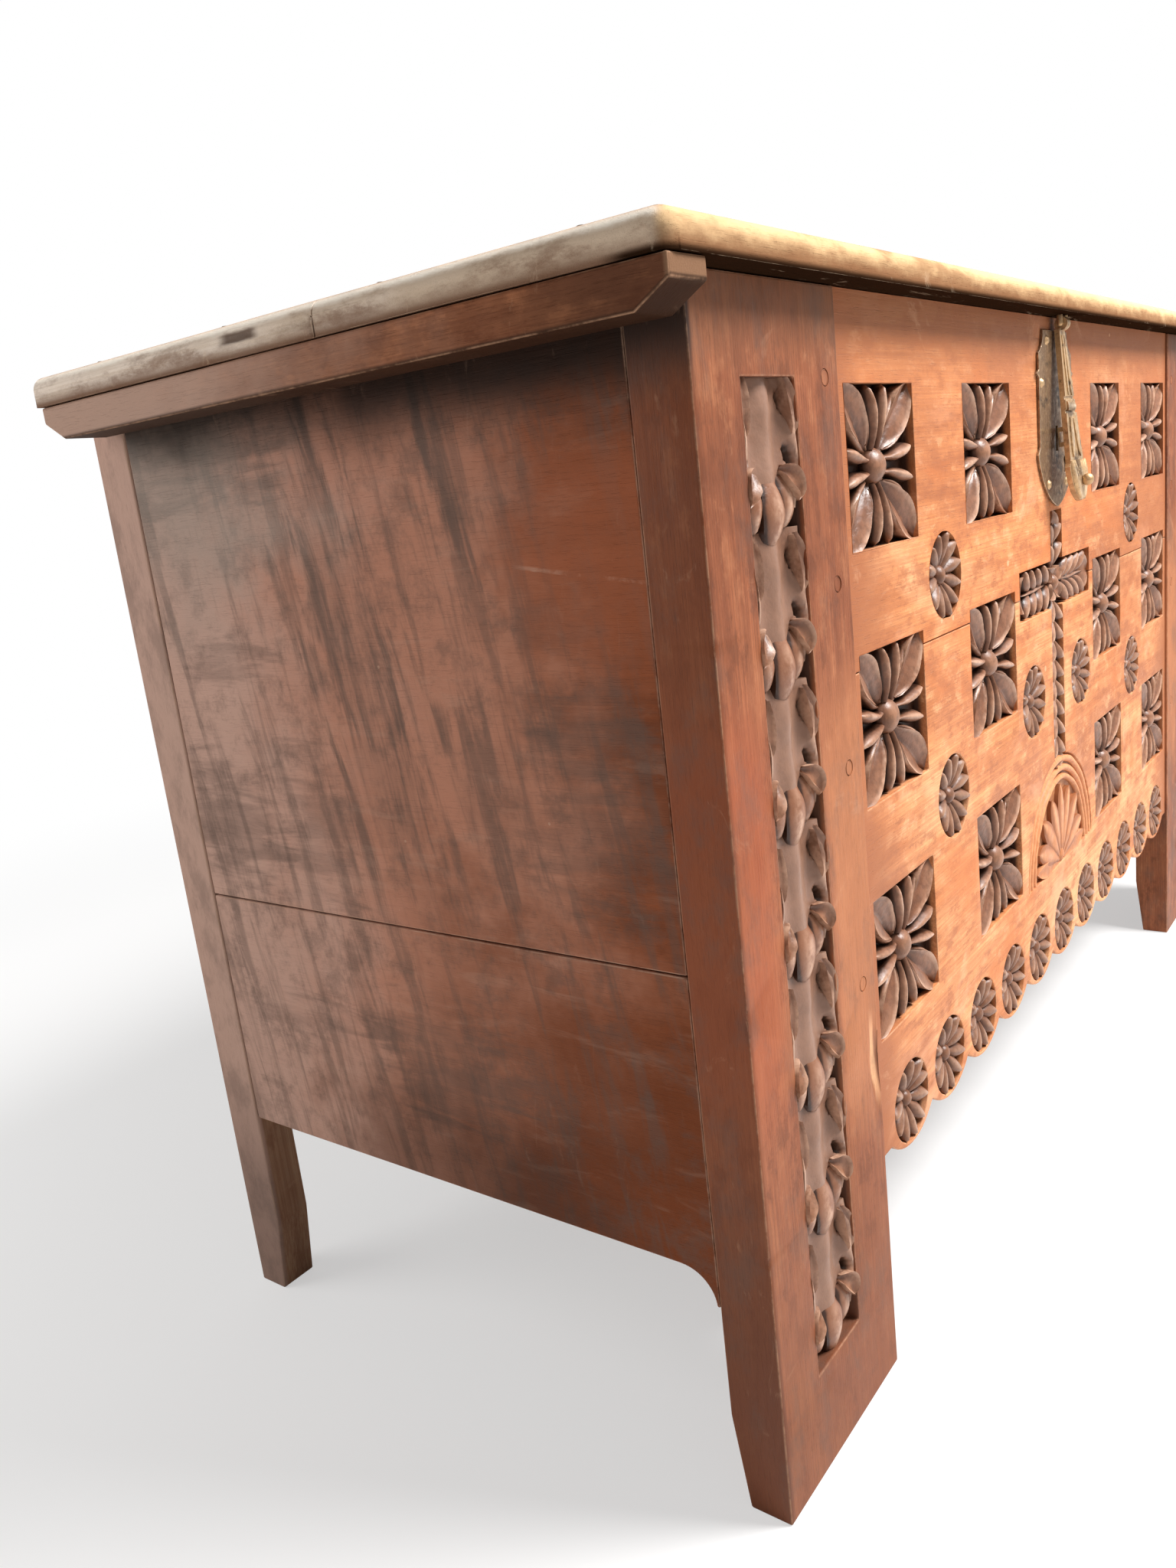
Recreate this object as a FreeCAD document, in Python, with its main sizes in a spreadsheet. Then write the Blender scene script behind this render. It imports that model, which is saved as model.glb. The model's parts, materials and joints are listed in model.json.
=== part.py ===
import FreeCAD, Part
import math
import os
import re
import Sketcher

Vector = FreeCAD.Vector
Rotation = FreeCAD.Rotation
Placement = FreeCAD.Placement

doc = FreeCAD.newDocument("carved_chest")
dims = doc.addObject("Spreadsheet::Sheet", "dims")

# Driving sizes in millimetres, degrees or counts. X runs along the front, Y to the back, Z up.
sizes = [
    ("chest_length", 1274, "outer length of the carcass over the stiles"),
    ("chest_depth", 540, "outer depth of the carcass over the stiles"),
    ("chest_height", 769, "floor to the top of the carcass"),
    ("joint_gap", 0.6, "dry gap between neighbouring boards"),
    ("fit_clearance", 0.2, "play around tongues, housings and let-in pieces"),
    ("stile_width", 175, "corner stile along the front"),
    ("stile_thickness", 40, "corner stile front to back"),
    ("foot_taper", 9, "wood worn off the hidden side of each foot"),
    ("foot_taper_height", 70, "height of the worn part of the foot"),
    ("rear_foot_width", 34, "rear feet, sawn narrow below the carcass"),
    ("rear_foot_height", 150, "height of the narrow part of the rear feet"),
    ("plank_thickness", 32, "front and back planks"),
    ("plank_setback", 3, "planks sit this far behind the stile face"),
    ("plank_joint", 241, "joint of the two planks below the carcass top"),
    ("tongue_length", 36, "plank tongue inside the stile"),
    ("tongue_thickness", 12, "tongues of planks and end boards"),
    ("apron_bottom", 153, "lowest point of the scalloped apron"),
    ("lobe_drop", 16, "depth of each apron scallop"),
    ("lobe_count", 11, "scallops along the apron"),
    ("apron_margin_left", 19, "plain apron before the first scallop"),
    ("apron_margin_right", 15, "plain apron after the last scallop"),
    ("carving_depth", 13, "ground of the front carving below the plank face"),
    ("square_side", 106, "height of the sunk rosette fields"),
    ("square_width", 112, "width of those fields"),
    ("square_inner", 182, "inner rosette column from the middle"),
    ("square_margin", 12, "outer rosette column from the edge of the stile"),
    ("row_first", 110, "middle of the top rosette row below the carcass top"),
    ("row_pitch", 174, "spacing of the rosette rows"),
    ("roundel_radius", 33, "round rosettes between the squares"),
    ("cross_roundel_x", 77, "small roundels beside the cross"),
    ("cross_roundel_drop", 339, "those roundels below the carcass top"),
    ("cross_arm_drop", 239, "middle of the cross arms below the carcass top"),
    ("cross_reach", 112, "half length of the cross arms"),
    ("cross_arm_width", 44, "width of the cross arms"),
    ("cross_shaft_width", 36, "width of the cross shaft"),
    ("cross_head", 171, "upper end of the cross shaft below the carcass top"),
    ("cross_foot", 424, "foot of the cross below the carcass top"),
    ("arch_radius", 108, "sunk half-round field under the cross"),
    ("arch_base", 517, "base line of the arch below the carcass top"),
    ("arch_depth", 5, "ground of the arch field"),
    ("lobe_rosette_radius", 32, "round rosette in each apron scallop"),
    ("lobe_rosette_z", 188, "height of the apron rosettes"),
    ("strip_width", 63, "sunk leaf strip on the front stiles"),
    ("strip_offset", 52, "strip from the outer edge of the stile"),
    ("strip_top", 54, "upper end of the strip below the carcass top"),
    ("strip_bottom", 77, "lower end of the strip above the floor"),
    ("strip_depth", 12, "ground of the strip"),
    ("peg_radius", 5, "oak pegs through stile and tongue"),
    ("peg_inset", 20, "peg from the inner edge of the stile"),
    ("peg_first", 54, "highest peg below the carcass top"),
    ("peg_second", 179, "second peg below the carcass top"),
    ("peg_third", 299, "third peg below the carcass top"),
    ("peg_fourth", 452, "lowest peg below the carcass top"),
    ("end_thickness", 25, "boards of the two ends"),
    ("end_setback", 1, "end boards sit this far inside the stile edge"),
    ("end_joint", 378, "height of the joint between the end boards"),
    ("end_bottom", 173, "lower edge of the ends and of the back"),
    ("end_tongue", 14, "end board tongue inside the stile"),
    ("bracket_radius", 24, "hollow corner under each end, at the front leg"),
    ("bracket_lip", 3, "blunt lower end of that corner"),
    ("floor_height", 200, "underside of the chest bottom"),
    ("floor_thickness", 20, "bottom boards"),
    ("floor_count", 6, "bottom boards, laid front to back"),
    ("floor_housing", 8, "bottom boards let into front and back planks"),
    ("lid_thickness", 22, "lid boards"),
    ("lid_front", 20, "lid overhang at the front"),
    ("lid_end", 43, "lid overhang at each end"),
    ("lid_rear", 5, "lid stops short of the back face"),
    ("lid_joint", 226, "joint of the two lid boards from the front face"),
    ("lid_round", 11, "rounded upper edge of the lid"),
    ("lid_corner", 12, "rounded front corners of the lid"),
    ("cleat_width", 36, "cleats under the lid ends"),
    ("cleat_height", 25, "cleats under the lid ends"),
    ("cleat_inset", 2, "cleat inside the lid outline"),
    ("cleat_chamfer_rise", 13, "sloped ends of the cleats"),
    ("cleat_chamfer_run", 22, "sloped ends of the cleats"),
    ("cleat_nail_inset", 60, "outer cleat nails from the cleat ends"),
    ("hinge_x", 380, "hinges from the middle"),
    ("hinge_out", 6, "hinge axis behind the back planks"),
    ("strap_width", 32, "hinge straps"),
    ("strap_thickness", 3, "hinge straps"),
    ("lid_strap_length", 220, "strap under the lid"),
    ("back_strap_length", 130, "strap down the back"),
    ("knuckle_radius", 5.5, "hinge barrel"),
    ("knuckle_length", 12, "middle knuckle, on the lid strap"),
    ("knuckle_gap", 0.3, "side play between knuckles"),
    ("hinge_pin_radius", 2.5, "hinge pin"),
    ("pin_clearance", 0.05, "running clearance around pins"),
    ("pin_head_radius", 4, "hammered ends of the hinge pin"),
    ("pin_head_height", 2, "hammered ends of the hinge pin"),
    ("hinge_play", 0.6, "room between a strap and the moving barrel"),
    ("nail_radius", 1.6, "forged nails"),
    ("nail_head_radius", 4.5, "forged nails"),
    ("nail_head_height", 2, "forged nails"),
    ("short_nail", 15, "nail length below the head, for ironwork"),
    ("long_nail", 40, "nail length below the head, for the cleats"),
    ("nail_clearance", 0.1, "nail holes"),
    ("hasp_axis_out", 6, "hasp pivot in front of the stile face"),
    ("hasp_axis_drop", 7, "hasp pivot below the lid"),
    ("hasp_lean", 5.6, "hasp hangs this far off the lock plate"),
    ("hasp_eye_radius", 6, "rolled eye at the top of the hasp"),
    ("hasp_eye_width", 10, "rolled eye at the top of the hasp"),
    ("hasp_thickness", 5, "hasp strap"),
    ("hasp_behind", 0.8, "front of the strap behind the pivot"),
    ("hasp_shoulder", 4, "top of the strap below the pivot"),
    ("hasp_neck", 16, "strap width at the top"),
    ("hasp_foot", 42, "strap width where the leaf begins"),
    ("hasp_leaf_top", 122, "leaf begins this far below the pivot"),
    ("hasp_leaf_width", 50, "leaf at the lower end"),
    ("hasp_length", 158, "pivot to the tip of the leaf"),
    ("hasp_leaf_bulge", 34, "rounding of the leaf"),
    ("groove_first", 65, "upper cross groove below the pivot"),
    ("groove_second", 77, "lower cross groove below the pivot"),
    ("groove_width", 2.6, "cut ornament on the hasp"),
    ("groove_depth", 1.2, "cut ornament on the hasp"),
    ("flute_pitch", 10, "leaf flutes"),
    ("flute_length", 22, "leaf flutes"),
    ("loop_drop", 98, "locking loop below the pivot"),
    ("loop_height", 18, "locking loop"),
    ("loop_thickness", 5, "locking loop along the bolt"),
    ("loop_wall", 1.9, "iron left around the bolt"),
    ("staple_radius", 2.5, "wire of the staple that carries the hasp"),
    ("staple_half", 8, "staple legs from the middle"),
    ("staple_depth", 16, "staple legs inside the lid"),
    ("knob_drop", 140, "finger knob below the pivot"),
    ("knob_forward", 6.2, "middle of the knob in front of the pivot"),
    ("knob_radius", 5.5, "finger knob"),
    ("knob_stem_radius", 2.4, "stem of the finger knob"),
    ("plate_half", 50, "half width of the lock plate"),
    ("plate_cusp", 6, "small points on the plate edge"),
    ("plate_thickness", 2.5, "lock plate"),
    ("plate_top", 12, "upper edge of the plate below the carcass top"),
    ("plate_neck", 36, "half width of the plate at its top"),
    ("plate_shoulder", 31, "shoulders below the carcass top"),
    ("plate_cusp_high", 49, "upper points below the carcass top"),
    ("plate_cusp_low", 119, "lower points below the carcass top"),
    ("plate_tip", 168, "tip of the plate below the carcass top"),
    ("plate_belly", 74, "radius of the lower edge of the plate"),
    ("slot_play", 1, "play around the loop in the plate slot"),
    ("slot_below", 2.5, "extra slot height below, for the swing"),
    ("case_length", 88, "lock case"),
    ("case_height", 80, "lock case"),
    ("case_depth", 20, "lock case"),
    ("case_wall", 2, "lock case"),
    ("case_top", 62, "top of the lock case below the carcass top"),
    ("bolt_length", 35, "lock bolt"),
    ("bolt_height", 8, "lock bolt"),
    ("bolt_thickness", 3, "lock bolt"),
    ("bolt_start", 6, "drawn bolt from the middle"),
    ("bolt_play", 0.3, "play around the bolt"),
    ("guide_width", 4, "bolt guides"),
    ("guide_margin", 5, "iron of the guides around the bolt"),
    ("guide_near", 11, "first guide and keeper from the middle"),
    ("guide_far", 23, "second guide from the middle"),
    ("spring_thickness", 0.8, "leaf spring above the bolt"),
    ("spring_width", 6, "leaf spring above the bolt"),
    ("spring_length", 14, "leaf spring above the bolt"),
    ("key_x", 24, "keyhole from the middle"),
    ("key_drop", 22, "keyhole below the bolt"),
    ("keyhole_radius", 4, "round part of the keyhole"),
    ("keyhole_slot", 3.2, "width of the keyhole slot"),
    ("keyhole_length", 11, "length of the keyhole slot"),
    ("key_pin_radius", 1.5, "pin that the key turns on"),
]
aliases = set()
for row, (alias, value, note) in enumerate(sizes, start=1):
    dims.set(f"A{row}", note)
    dims.set(f"B{row}", str(value))
    dims.setAlias(f"B{row}", alias)
    aliases.add(alias)
doc.recompute()

nodes = []


# Expressions are written with bare size names; this adds the sheet's name.
def sheet(text):
    return re.sub(r"[a-z_]+", lambda m: "dims." + m[0] if m[0] in aliases else m[0], str(text))


def number(text):
    return float(dims.evalExpression(sheet(text)))


def bind(item, prop, text):
    item.setExpression(prop, sheet(text))


def node(item, label):
    item.Label = label
    nodes.append(item)
    return item


# Points shared by many pieces. The front face is set so that the whole object is centred on Y.
front_reach = "(hasp_axis_out + knob_forward * cos(hasp_lean) + knob_drop * sin(hasp_lean) + knob_radius)"
rear_reach = "(hinge_out - plank_setback + knuckle_radius)"
front = f"(-(chest_depth + {rear_reach} - {front_reach}) / 2)"
hinge_y = f"({front} + chest_depth - plank_setback + hinge_out)"
hinge_z = "(chest_height - strap_thickness / 2)"
hasp_y = f"({front} - hasp_axis_out)"
hasp_z = "(chest_height - hasp_axis_drop)"
plank_span = "(chest_length - 2 * stile_width)"
lobe_pitch = f"(({plank_span} - apron_margin_left - apron_margin_right) / lobe_count)"
square_outer = f"({plank_span} / 2 - square_margin - square_width / 2)"
apron_line = "(apron_bottom + lobe_drop)"
bolt_z = f"({hasp_z} - loop_drop)"
bolt_y = f"({front} + plank_setback + 2 * bolt_play + bolt_thickness / 2)"
pegs_high = ("chest_height - peg_first", "chest_height - peg_second")
pegs_low = ("chest_height - peg_third", "chest_height - peg_fourth")
joint_z = "(chest_height - plank_joint)"
loop_gap = "(hasp_axis_out - hasp_behind - hasp_thickness + plank_setback - plate_thickness)"
loop_reach = f"({loop_gap} + plate_thickness + 3 * bolt_play + bolt_thickness + loop_wall)"


# A place measured inward from the left (-1) or right (1) end, or from the front (-1) or back (1) face.
def from_end(side, distance):
    return f"({side} * (chest_length / 2 - ({distance})))"


def from_face(face, distance):
    if face < 0:
        return f"({front} + ({distance}))"
    return f"({front} + chest_depth - ({distance}))"


# Part primitives, placed by their middle
def block(name, centre, size):
    item = doc.addObject("Part::Box", name)
    for prop, axis, place, length in zip(("Length", "Width", "Height"), "xyz", centre, size):
        bind(item, prop, length)
        bind(item, f".Placement.Base.{axis}", f"{place} - ({length}) / 2")
    return item


def place(item, at, direction):
    item.Placement = Placement(Vector(0, 0, 0), Rotation(Vector(0, 0, 1), Vector(*direction)))
    for axis, text in zip("xyz", at):
        bind(item, f".Placement.Base.{axis}", text)


def rod(name, start, direction, radius, length):
    item = doc.addObject("Part::Cylinder", name)
    bind(item, "Radius", radius)
    bind(item, "Height", length)
    place(item, start, direction)
    return item


def ball(name, at, radius):
    item = doc.addObject("Part::Sphere", name)
    bind(item, "Radius", radius)
    place(item, at, (0, 0, 1))
    return item


def fuse(name, items):
    item = doc.addObject("Part::MultiFuse", name)
    item.Shapes = items
    return item


def cut(name, base, tools):
    item = doc.addObject("Part::Cut", name)
    item.Base = base
    item.Tool = tools[0] if len(tools) == 1 else fuse(name + "_tools", tools)
    return item


def group(name, items):
    item = doc.addObject("Part::Compound", name)
    item.Links = items
    return item


# PartDesign helpers. A sketch lies in a plane through a point given in the model's own X, Y and Z.
planes = {"z": "XY_Plane", "y": "XZ_Plane", "x": "YZ_Plane"}


def new_body(label):
    return node(doc.addObject("PartDesign::Body", label), label)


def new_sketch(body, normal, at):
    sketch = body.newObject("Sketcher::SketchObject", "sketch")
    plane = next(f for f in body.Origin.OriginFeatures if f.Role == planes[normal])
    sketch.AttachmentSupport = [(plane, "")]
    sketch.MapMode = "FlatFace"
    x, y, z = at
    offsets = {"z": (x, y, z), "y": (x, z, f"-({y})"), "x": (y, z, x)}[normal]
    for axis, text in zip("xyz", offsets):
        bind(sketch, f".AttachmentOffset.Base.{axis}", text)
    return sketch


def dimension(sketch, kind, *args):
    index = sketch.addConstraint(Sketcher.Constraint(kind, *args[:-1], number(args[-1])))
    bind(sketch, f"Constraints[{index}]", args[-1])


# Closed outline through corners (u, v); a corner with (radius, turn) is reached by an arc,
# turn 1 bending to the left and -1 to the right.
def outline(sketch, corners):
    points = [Vector(number(c[0]), number(c[1]), 0) for c in corners]
    ends = []
    for index, corner in enumerate(corners):
        start, stop = points[index - 1], points[index]
        if len(corner) == 2:
            geo = sketch.addGeometry(Part.LineSegment(start, stop), False)
            ends.append((geo, 1, 2))
            continue
        radius, turn = number(corner[2]), corner[3]
        chord = stop - start
        rise = math.sqrt(max(radius ** 2 - chord.Length ** 2 / 4, 0))
        centre = (start + stop) / 2 + Vector(-chord.y, chord.x, 0).normalize() * rise * turn
        first, last = (start, stop) if turn > 0 else (stop, start)
        angles = [math.atan2(p.y - centre.y, p.x - centre.x) for p in (first, last)]
        arc = Part.ArcOfCircle(Part.Circle(centre, Vector(0, 0, 1), radius), *angles)
        geo = sketch.addGeometry(arc, False)
        ends.append((geo, 1, 2) if turn > 0 else (geo, 2, 1))
    for index, (geo, first, last) in enumerate(ends):
        following = ends[(index + 1) % len(ends)]
        sketch.addConstraint(Sketcher.Constraint("Coincident", geo, last, following[0], following[1]))
    for (geo, first, last), corner in zip(ends, corners):
        dimension(sketch, "DistanceX", -1, 1, geo, last, corner[0])
        dimension(sketch, "DistanceY", -1, 1, geo, last, corner[1])
        if len(corner) == 4:
            dimension(sketch, "Radius", geo, corner[2])
    return sketch


def rectangle(sketch, width, height):
    u, v = f"({width}) / 2", f"({height}) / 2"
    return outline(sketch, [(f"-({u})", f"-({v})"), (u, f"-({v})"), (u, v), (f"-({u})", v)])


def circle(sketch, radius):
    geo = sketch.addGeometry(Part.Circle(Vector(0, 0, 0), Vector(0, 0, 1), number(radius)), False)
    sketch.addConstraint(Sketcher.Constraint("Coincident", geo, 3, -1, 1))
    dimension(sketch, "Radius", geo, radius)
    return sketch


# direction is 1 or -1 along the model axis that the sketch faces
def extrude(body, kind, sketch, length, direction):
    feature = body.newObject("PartDesign::" + kind, kind.lower())
    feature.Profile = sketch
    bind(feature, "Length", length)
    role = sketch.AttachmentSupport[0][0].Role
    normal = -1 if role == "XZ_Plane" else 1
    along = normal if kind == "Pad" else -normal
    feature.Reversed = direction != along
    return feature


def pad(body, sketch, length, direction=1):
    return extrude(body, "Pad", sketch, length, direction)


def pocket(body, sketch, length, direction=1):
    return extrude(body, "Pocket", sketch, length, direction)


def box_pad(body, normal, at, width, height, length, direction=1):
    return pad(body, rectangle(new_sketch(body, normal, at), width, height), length, direction)


def box_pocket(body, normal, at, width, height, length, direction=1):
    return pocket(body, rectangle(new_sketch(body, normal, at), width, height), length, direction)


def drill(body, normal, at, radius, length, direction=1):
    return pocket(body, circle(new_sketch(body, normal, at), radius), length, direction)


def repeat(body, feature, length, count):
    pattern = body.newObject("PartDesign::LinearPattern", "repeat")
    pattern.Originals = [feature]
    axis = next(f for f in body.Origin.OriginFeatures if f.Role == "X_Axis")
    pattern.Direction = (axis, [""])
    bind(pattern, "Length", length)
    bind(pattern, "Occurrences", count)
    body.Tip = pattern
    return pattern


# Corner stiles: planks stood on end, which run down to the floor as the feet
def stile(label, side, face):
    body = new_body(label)
    outer = from_end(side, "0" if side < 0 else "stile_width")
    corners = [
        (from_face(face, "0"), "0"),
        (from_face(face, "stile_thickness - foot_taper"), "0"),
        (from_face(face, "stile_thickness"), "foot_taper_height"),
        (from_face(face, "stile_thickness"), "chest_height"),
        (from_face(face, "0"), "chest_height"),
    ]
    pad(body, outline(new_sketch(body, "x", (outer, "0", "0")), corners), "stile_width")

    # Groove for the plank tongues, open at the top
    bottom = apron_line if face < 0 else "end_bottom"
    groove_y = from_face(face, "plank_setback + plank_thickness / 2")
    groove_z = f"({bottom} - fit_clearance + chest_height) / 2"
    groove_height = f"chest_height - {bottom} + fit_clearance"
    box_pocket(body, "x", (from_end(side, "stile_width"), groove_y, groove_z),
               "tongue_thickness + 2 * fit_clearance", groove_height,
               "tongue_length + fit_clearance", side)

    # Groove for the end board tongues in the inner face
    low = "(end_bottom - fit_clearance)"
    end_x = from_end(side, "end_setback + end_thickness / 2")
    box_pocket(body, "y", (end_x, from_face(face, "stile_thickness"), f"({low} + chest_height) / 2"),
               "tongue_thickness + 2 * fit_clearance", f"chest_height - {low}",
               "end_tongue + fit_clearance", face)

    for height in pegs_high + pegs_low:
        at = (from_end(side, "stile_width - peg_inset"), from_face(face, "0"), height)
        drill(body, "y", at, "peg_radius + nail_clearance", "stile_thickness", -face)
    if face > 0:
        at = (from_end(side, "(stile_width + rear_foot_width) / 2"), from_face(1, "0"),
              "rear_foot_height / 2")
        box_pocket(body, "y", at, "stile_width - rear_foot_width", "rear_foot_height", "stile_thickness", -1)
    else:
        strip_high = "(chest_height - strip_top)"
        at = (from_end(side, "strip_offset + strip_width / 2"), front, f"({strip_high} + strip_bottom) / 2")
        box_pocket(body, "y", at, "strip_width", f"{strip_high} - strip_bottom", "strip_depth")
    return body


# Horizontal planks between the stiles, front or back, upper or lower
def plank(label, face, upper):
    body = new_body(label)
    floor_line = apron_line if face < 0 else "end_bottom"
    bottom = f"({joint_z} + joint_gap / 2)" if upper else floor_line
    top = "chest_height" if upper else f"({joint_z} - joint_gap / 2)"
    middle, height = f"({bottom} + {top}) / 2", f"{top} - {bottom}"
    face_y = from_face(face, "plank_setback")
    tongue_y = from_face(face, "plank_setback + (plank_thickness - tongue_thickness) / 2")
    box_pad(body, "y", ("0", face_y, middle), plank_span, height, "plank_thickness", -face)
    box_pad(body, "y", ("0", tongue_y, middle), f"{plank_span} + 2 * tongue_length", height,
            "tongue_thickness", -face)
    for peg in pegs_high if upper else pegs_low:
        for side in (-1, 1):
            at = (from_end(side, "stile_width - peg_inset"), from_face(face, "0"), peg)
            drill(body, "y", at, "peg_radius + nail_clearance", "stile_thickness", -face)
    if not upper:
        housing_z = "floor_height + (floor_thickness + fit_clearance) / 2"
        at = ("0", from_face(face, "plank_setback + plank_thickness"), housing_z)
        box_pocket(body, "y", at, plank_span, "floor_thickness + fit_clearance", "floor_housing", face)
    return body


def carve_rows(body, rows):
    for row in rows:
        height = f"chest_height - row_first - {row} * row_pitch"
        for column in (f"-{square_outer}", "-square_inner", "square_inner", square_outer):
            at = (column, from_face(-1, "plank_setback"), height)
            box_pocket(body, "y", at, "square_width", "square_side", "carving_depth")


def carve_roundels(body, columns, height):
    for column in columns:
        at = (column, from_face(-1, "plank_setback"), height)
        drill(body, "y", at, "roundel_radius", "carving_depth")


def carve_cross(body):
    face_y = from_face(-1, "plank_setback")
    box_pocket(body, "y", ("0", face_y, "chest_height - cross_arm_drop"), "2 * cross_reach",
               "cross_arm_width", "carving_depth")
    box_pocket(body, "y", ("0", face_y, "chest_height - (cross_head + cross_foot) / 2"),
               "cross_shaft_width", "cross_foot - cross_head", "carving_depth")


between_columns = (f"-(square_inner + {square_outer}) / 2", f"(square_inner + {square_outer}) / 2")


def front_upper():
    body = plank("front_upper_plank", -1, True)
    carve_rows(body, (0, 1))
    carve_roundels(body, between_columns, "chest_height - row_first - row_pitch / 2")
    carve_cross(body)
    # Mortise for the lock case, and holes for the nails of the lock plate
    at = ("0", from_face(-1, "plank_setback"), "chest_height - case_top - case_height / 2")
    box_pocket(body, "y", at, "case_length + 2 * fit_clearance", "case_height + 2 * fit_clearance",
               "case_depth + fit_clearance")
    for x, z in plate_nail_places:
        drill(body, "y", (x, from_face(-1, "plank_setback"), z), "nail_radius + nail_clearance",
              "short_nail")
    return body


def front_lower():
    body = plank("front_lower_plank", -1, False)
    face_y = from_face(-1, "plank_setback")
    # Scalloped apron: one lobe, repeated along the plank
    first = f"(-{plank_span} / 2 + apron_margin_left + {lobe_pitch} / 2)"
    run = f"{lobe_pitch} * (lobe_count - 1)"
    half_lobe = f"({lobe_pitch} / 2)"
    bend = f"(({half_lobe} * {half_lobe} + lobe_drop * lobe_drop) / (2 * lobe_drop))"
    sketch = new_sketch(body, "y", (first, face_y, apron_line))
    outline(sketch, [(f"-{half_lobe}", "0"), (half_lobe, "0", bend, 1)])
    repeat(body, pad(body, sketch, "plank_thickness"), run, "lobe_count")
    rosette = drill(body, "y", (first, face_y, "lobe_rosette_z"), "lobe_rosette_radius", "carving_depth")
    repeat(body, rosette, run, "lobe_count")
    carve_rows(body, (1, 2))
    carve_roundels(body, between_columns, "chest_height - row_first - 1.5 * row_pitch")
    carve_roundels(body, ("-cross_roundel_x", "cross_roundel_x"), "chest_height - cross_roundel_drop")
    carve_cross(body)
    arch = new_sketch(body, "y", ("0", face_y, "chest_height - arch_base"))
    outline(arch, [("arch_radius", "0"), ("0", "arch_radius", "arch_radius", 1),
                   ("-arch_radius", "0", "arch_radius", 1)])
    pocket(body, arch, "arch_depth")
    return body


def back_upper():
    body = plank("back_upper_plank", 1, True)
    for side in (-1, 1):
        # Notch that lets the hinge strap over the plank, then the nail holes of the back strap
        at = (f"{side} * hinge_x", from_face(1, "plank_setback + plank_thickness / 2"), "chest_height")
        box_pocket(body, "z", at, "strap_width + 2 * hinge_play", "plank_thickness",
                   "strap_thickness + hinge_play", -1)
        for z in back_nail_heights:
            drill(body, "y", (f"{side} * hinge_x", from_face(1, "plank_setback"), z),
                  "nail_radius + nail_clearance", "short_nail", -1)
    return body


# End boards, tongued into the stiles; the lower one has a hollow corner at the front leg
def end_board(label, side, upper):
    body = new_body(label)
    bottom = "(end_joint + joint_gap / 2)" if upper else "end_bottom"
    top = "chest_height" if upper else "(end_joint - joint_gap / 2)"
    middle, height = f"({bottom} + {top}) / 2", f"{top} - {bottom}"
    mid_y = f"{front} + chest_depth / 2"
    span = "(chest_depth - 2 * stile_thickness)"
    outer = from_end(side, "end_setback")
    tongue_x = from_end(side, "end_setback + (end_thickness - tongue_thickness) / 2")
    box_pad(body, "x", (outer, mid_y, middle), span, height, "end_thickness", -side)
    box_pad(body, "x", (tongue_x, mid_y, middle), f"{span} + 2 * end_tongue", height,
            "tongue_thickness", -side)
    if not upper:
        corner = new_sketch(body, "x", (outer, from_face(-1, "stile_thickness"), "end_bottom"))
        outline(corner, [("0", "0"), ("0", "-bracket_radius"), ("bracket_lip", "-bracket_radius"),
                         ("bracket_lip + bracket_radius", "0", "bracket_radius", -1)])
        pad(body, corner, "end_thickness", -side)
    return body


# Bottom boards, front to back, let into the planks and cut out around the stiles
def floor_boards():
    depth = "(chest_depth - 2 * (plank_setback + plank_thickness - floor_housing) - 2 * fit_clearance)"
    room = "(chest_length - 2 * (end_setback + end_thickness + fit_clearance))"
    mid_y = f"{front} + chest_depth / 2"
    corners = []
    for side in (-1, 1):
        for face in (-1, 1):
            at = (from_end(side, "stile_width / 2"), from_face(face, "stile_thickness / 2"),
                  "floor_height")
            corners.append(block("stile_room", at, ("stile_width + 2 * fit_clearance",
                                                    "stile_thickness + 2 * fit_clearance",
                                                    "4 * floor_thickness")))
    stile_room = fuse("stile_rooms", corners)
    for index in range(int(number("floor_count"))):
        middle = f"-{room} / 2 + ({index} + 0.5) * {room} / floor_count"
        board = block("board", (middle, mid_y, "floor_height + floor_thickness / 2"),
                      (f"{room} / floor_count - joint_gap", depth, "floor_thickness"))
        label = f"bottom_board_{index + 1}"
        node(cut(label, board, [stile_room]), label)


# Lid: two boards with a rounded upper edge, and a cleat under each end
def round_edges(body, chosen, radius):
    doc.recompute()
    tip = body.Tip
    names = [f"Edge{i}" for i, edge in enumerate(tip.Shape.Edges, start=1) if chosen(edge)]
    fillet = body.newObject("PartDesign::Fillet", "rounding")
    fillet.Base = (tip, names)
    bind(fillet, "Radius", radius)
    return fillet


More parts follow.
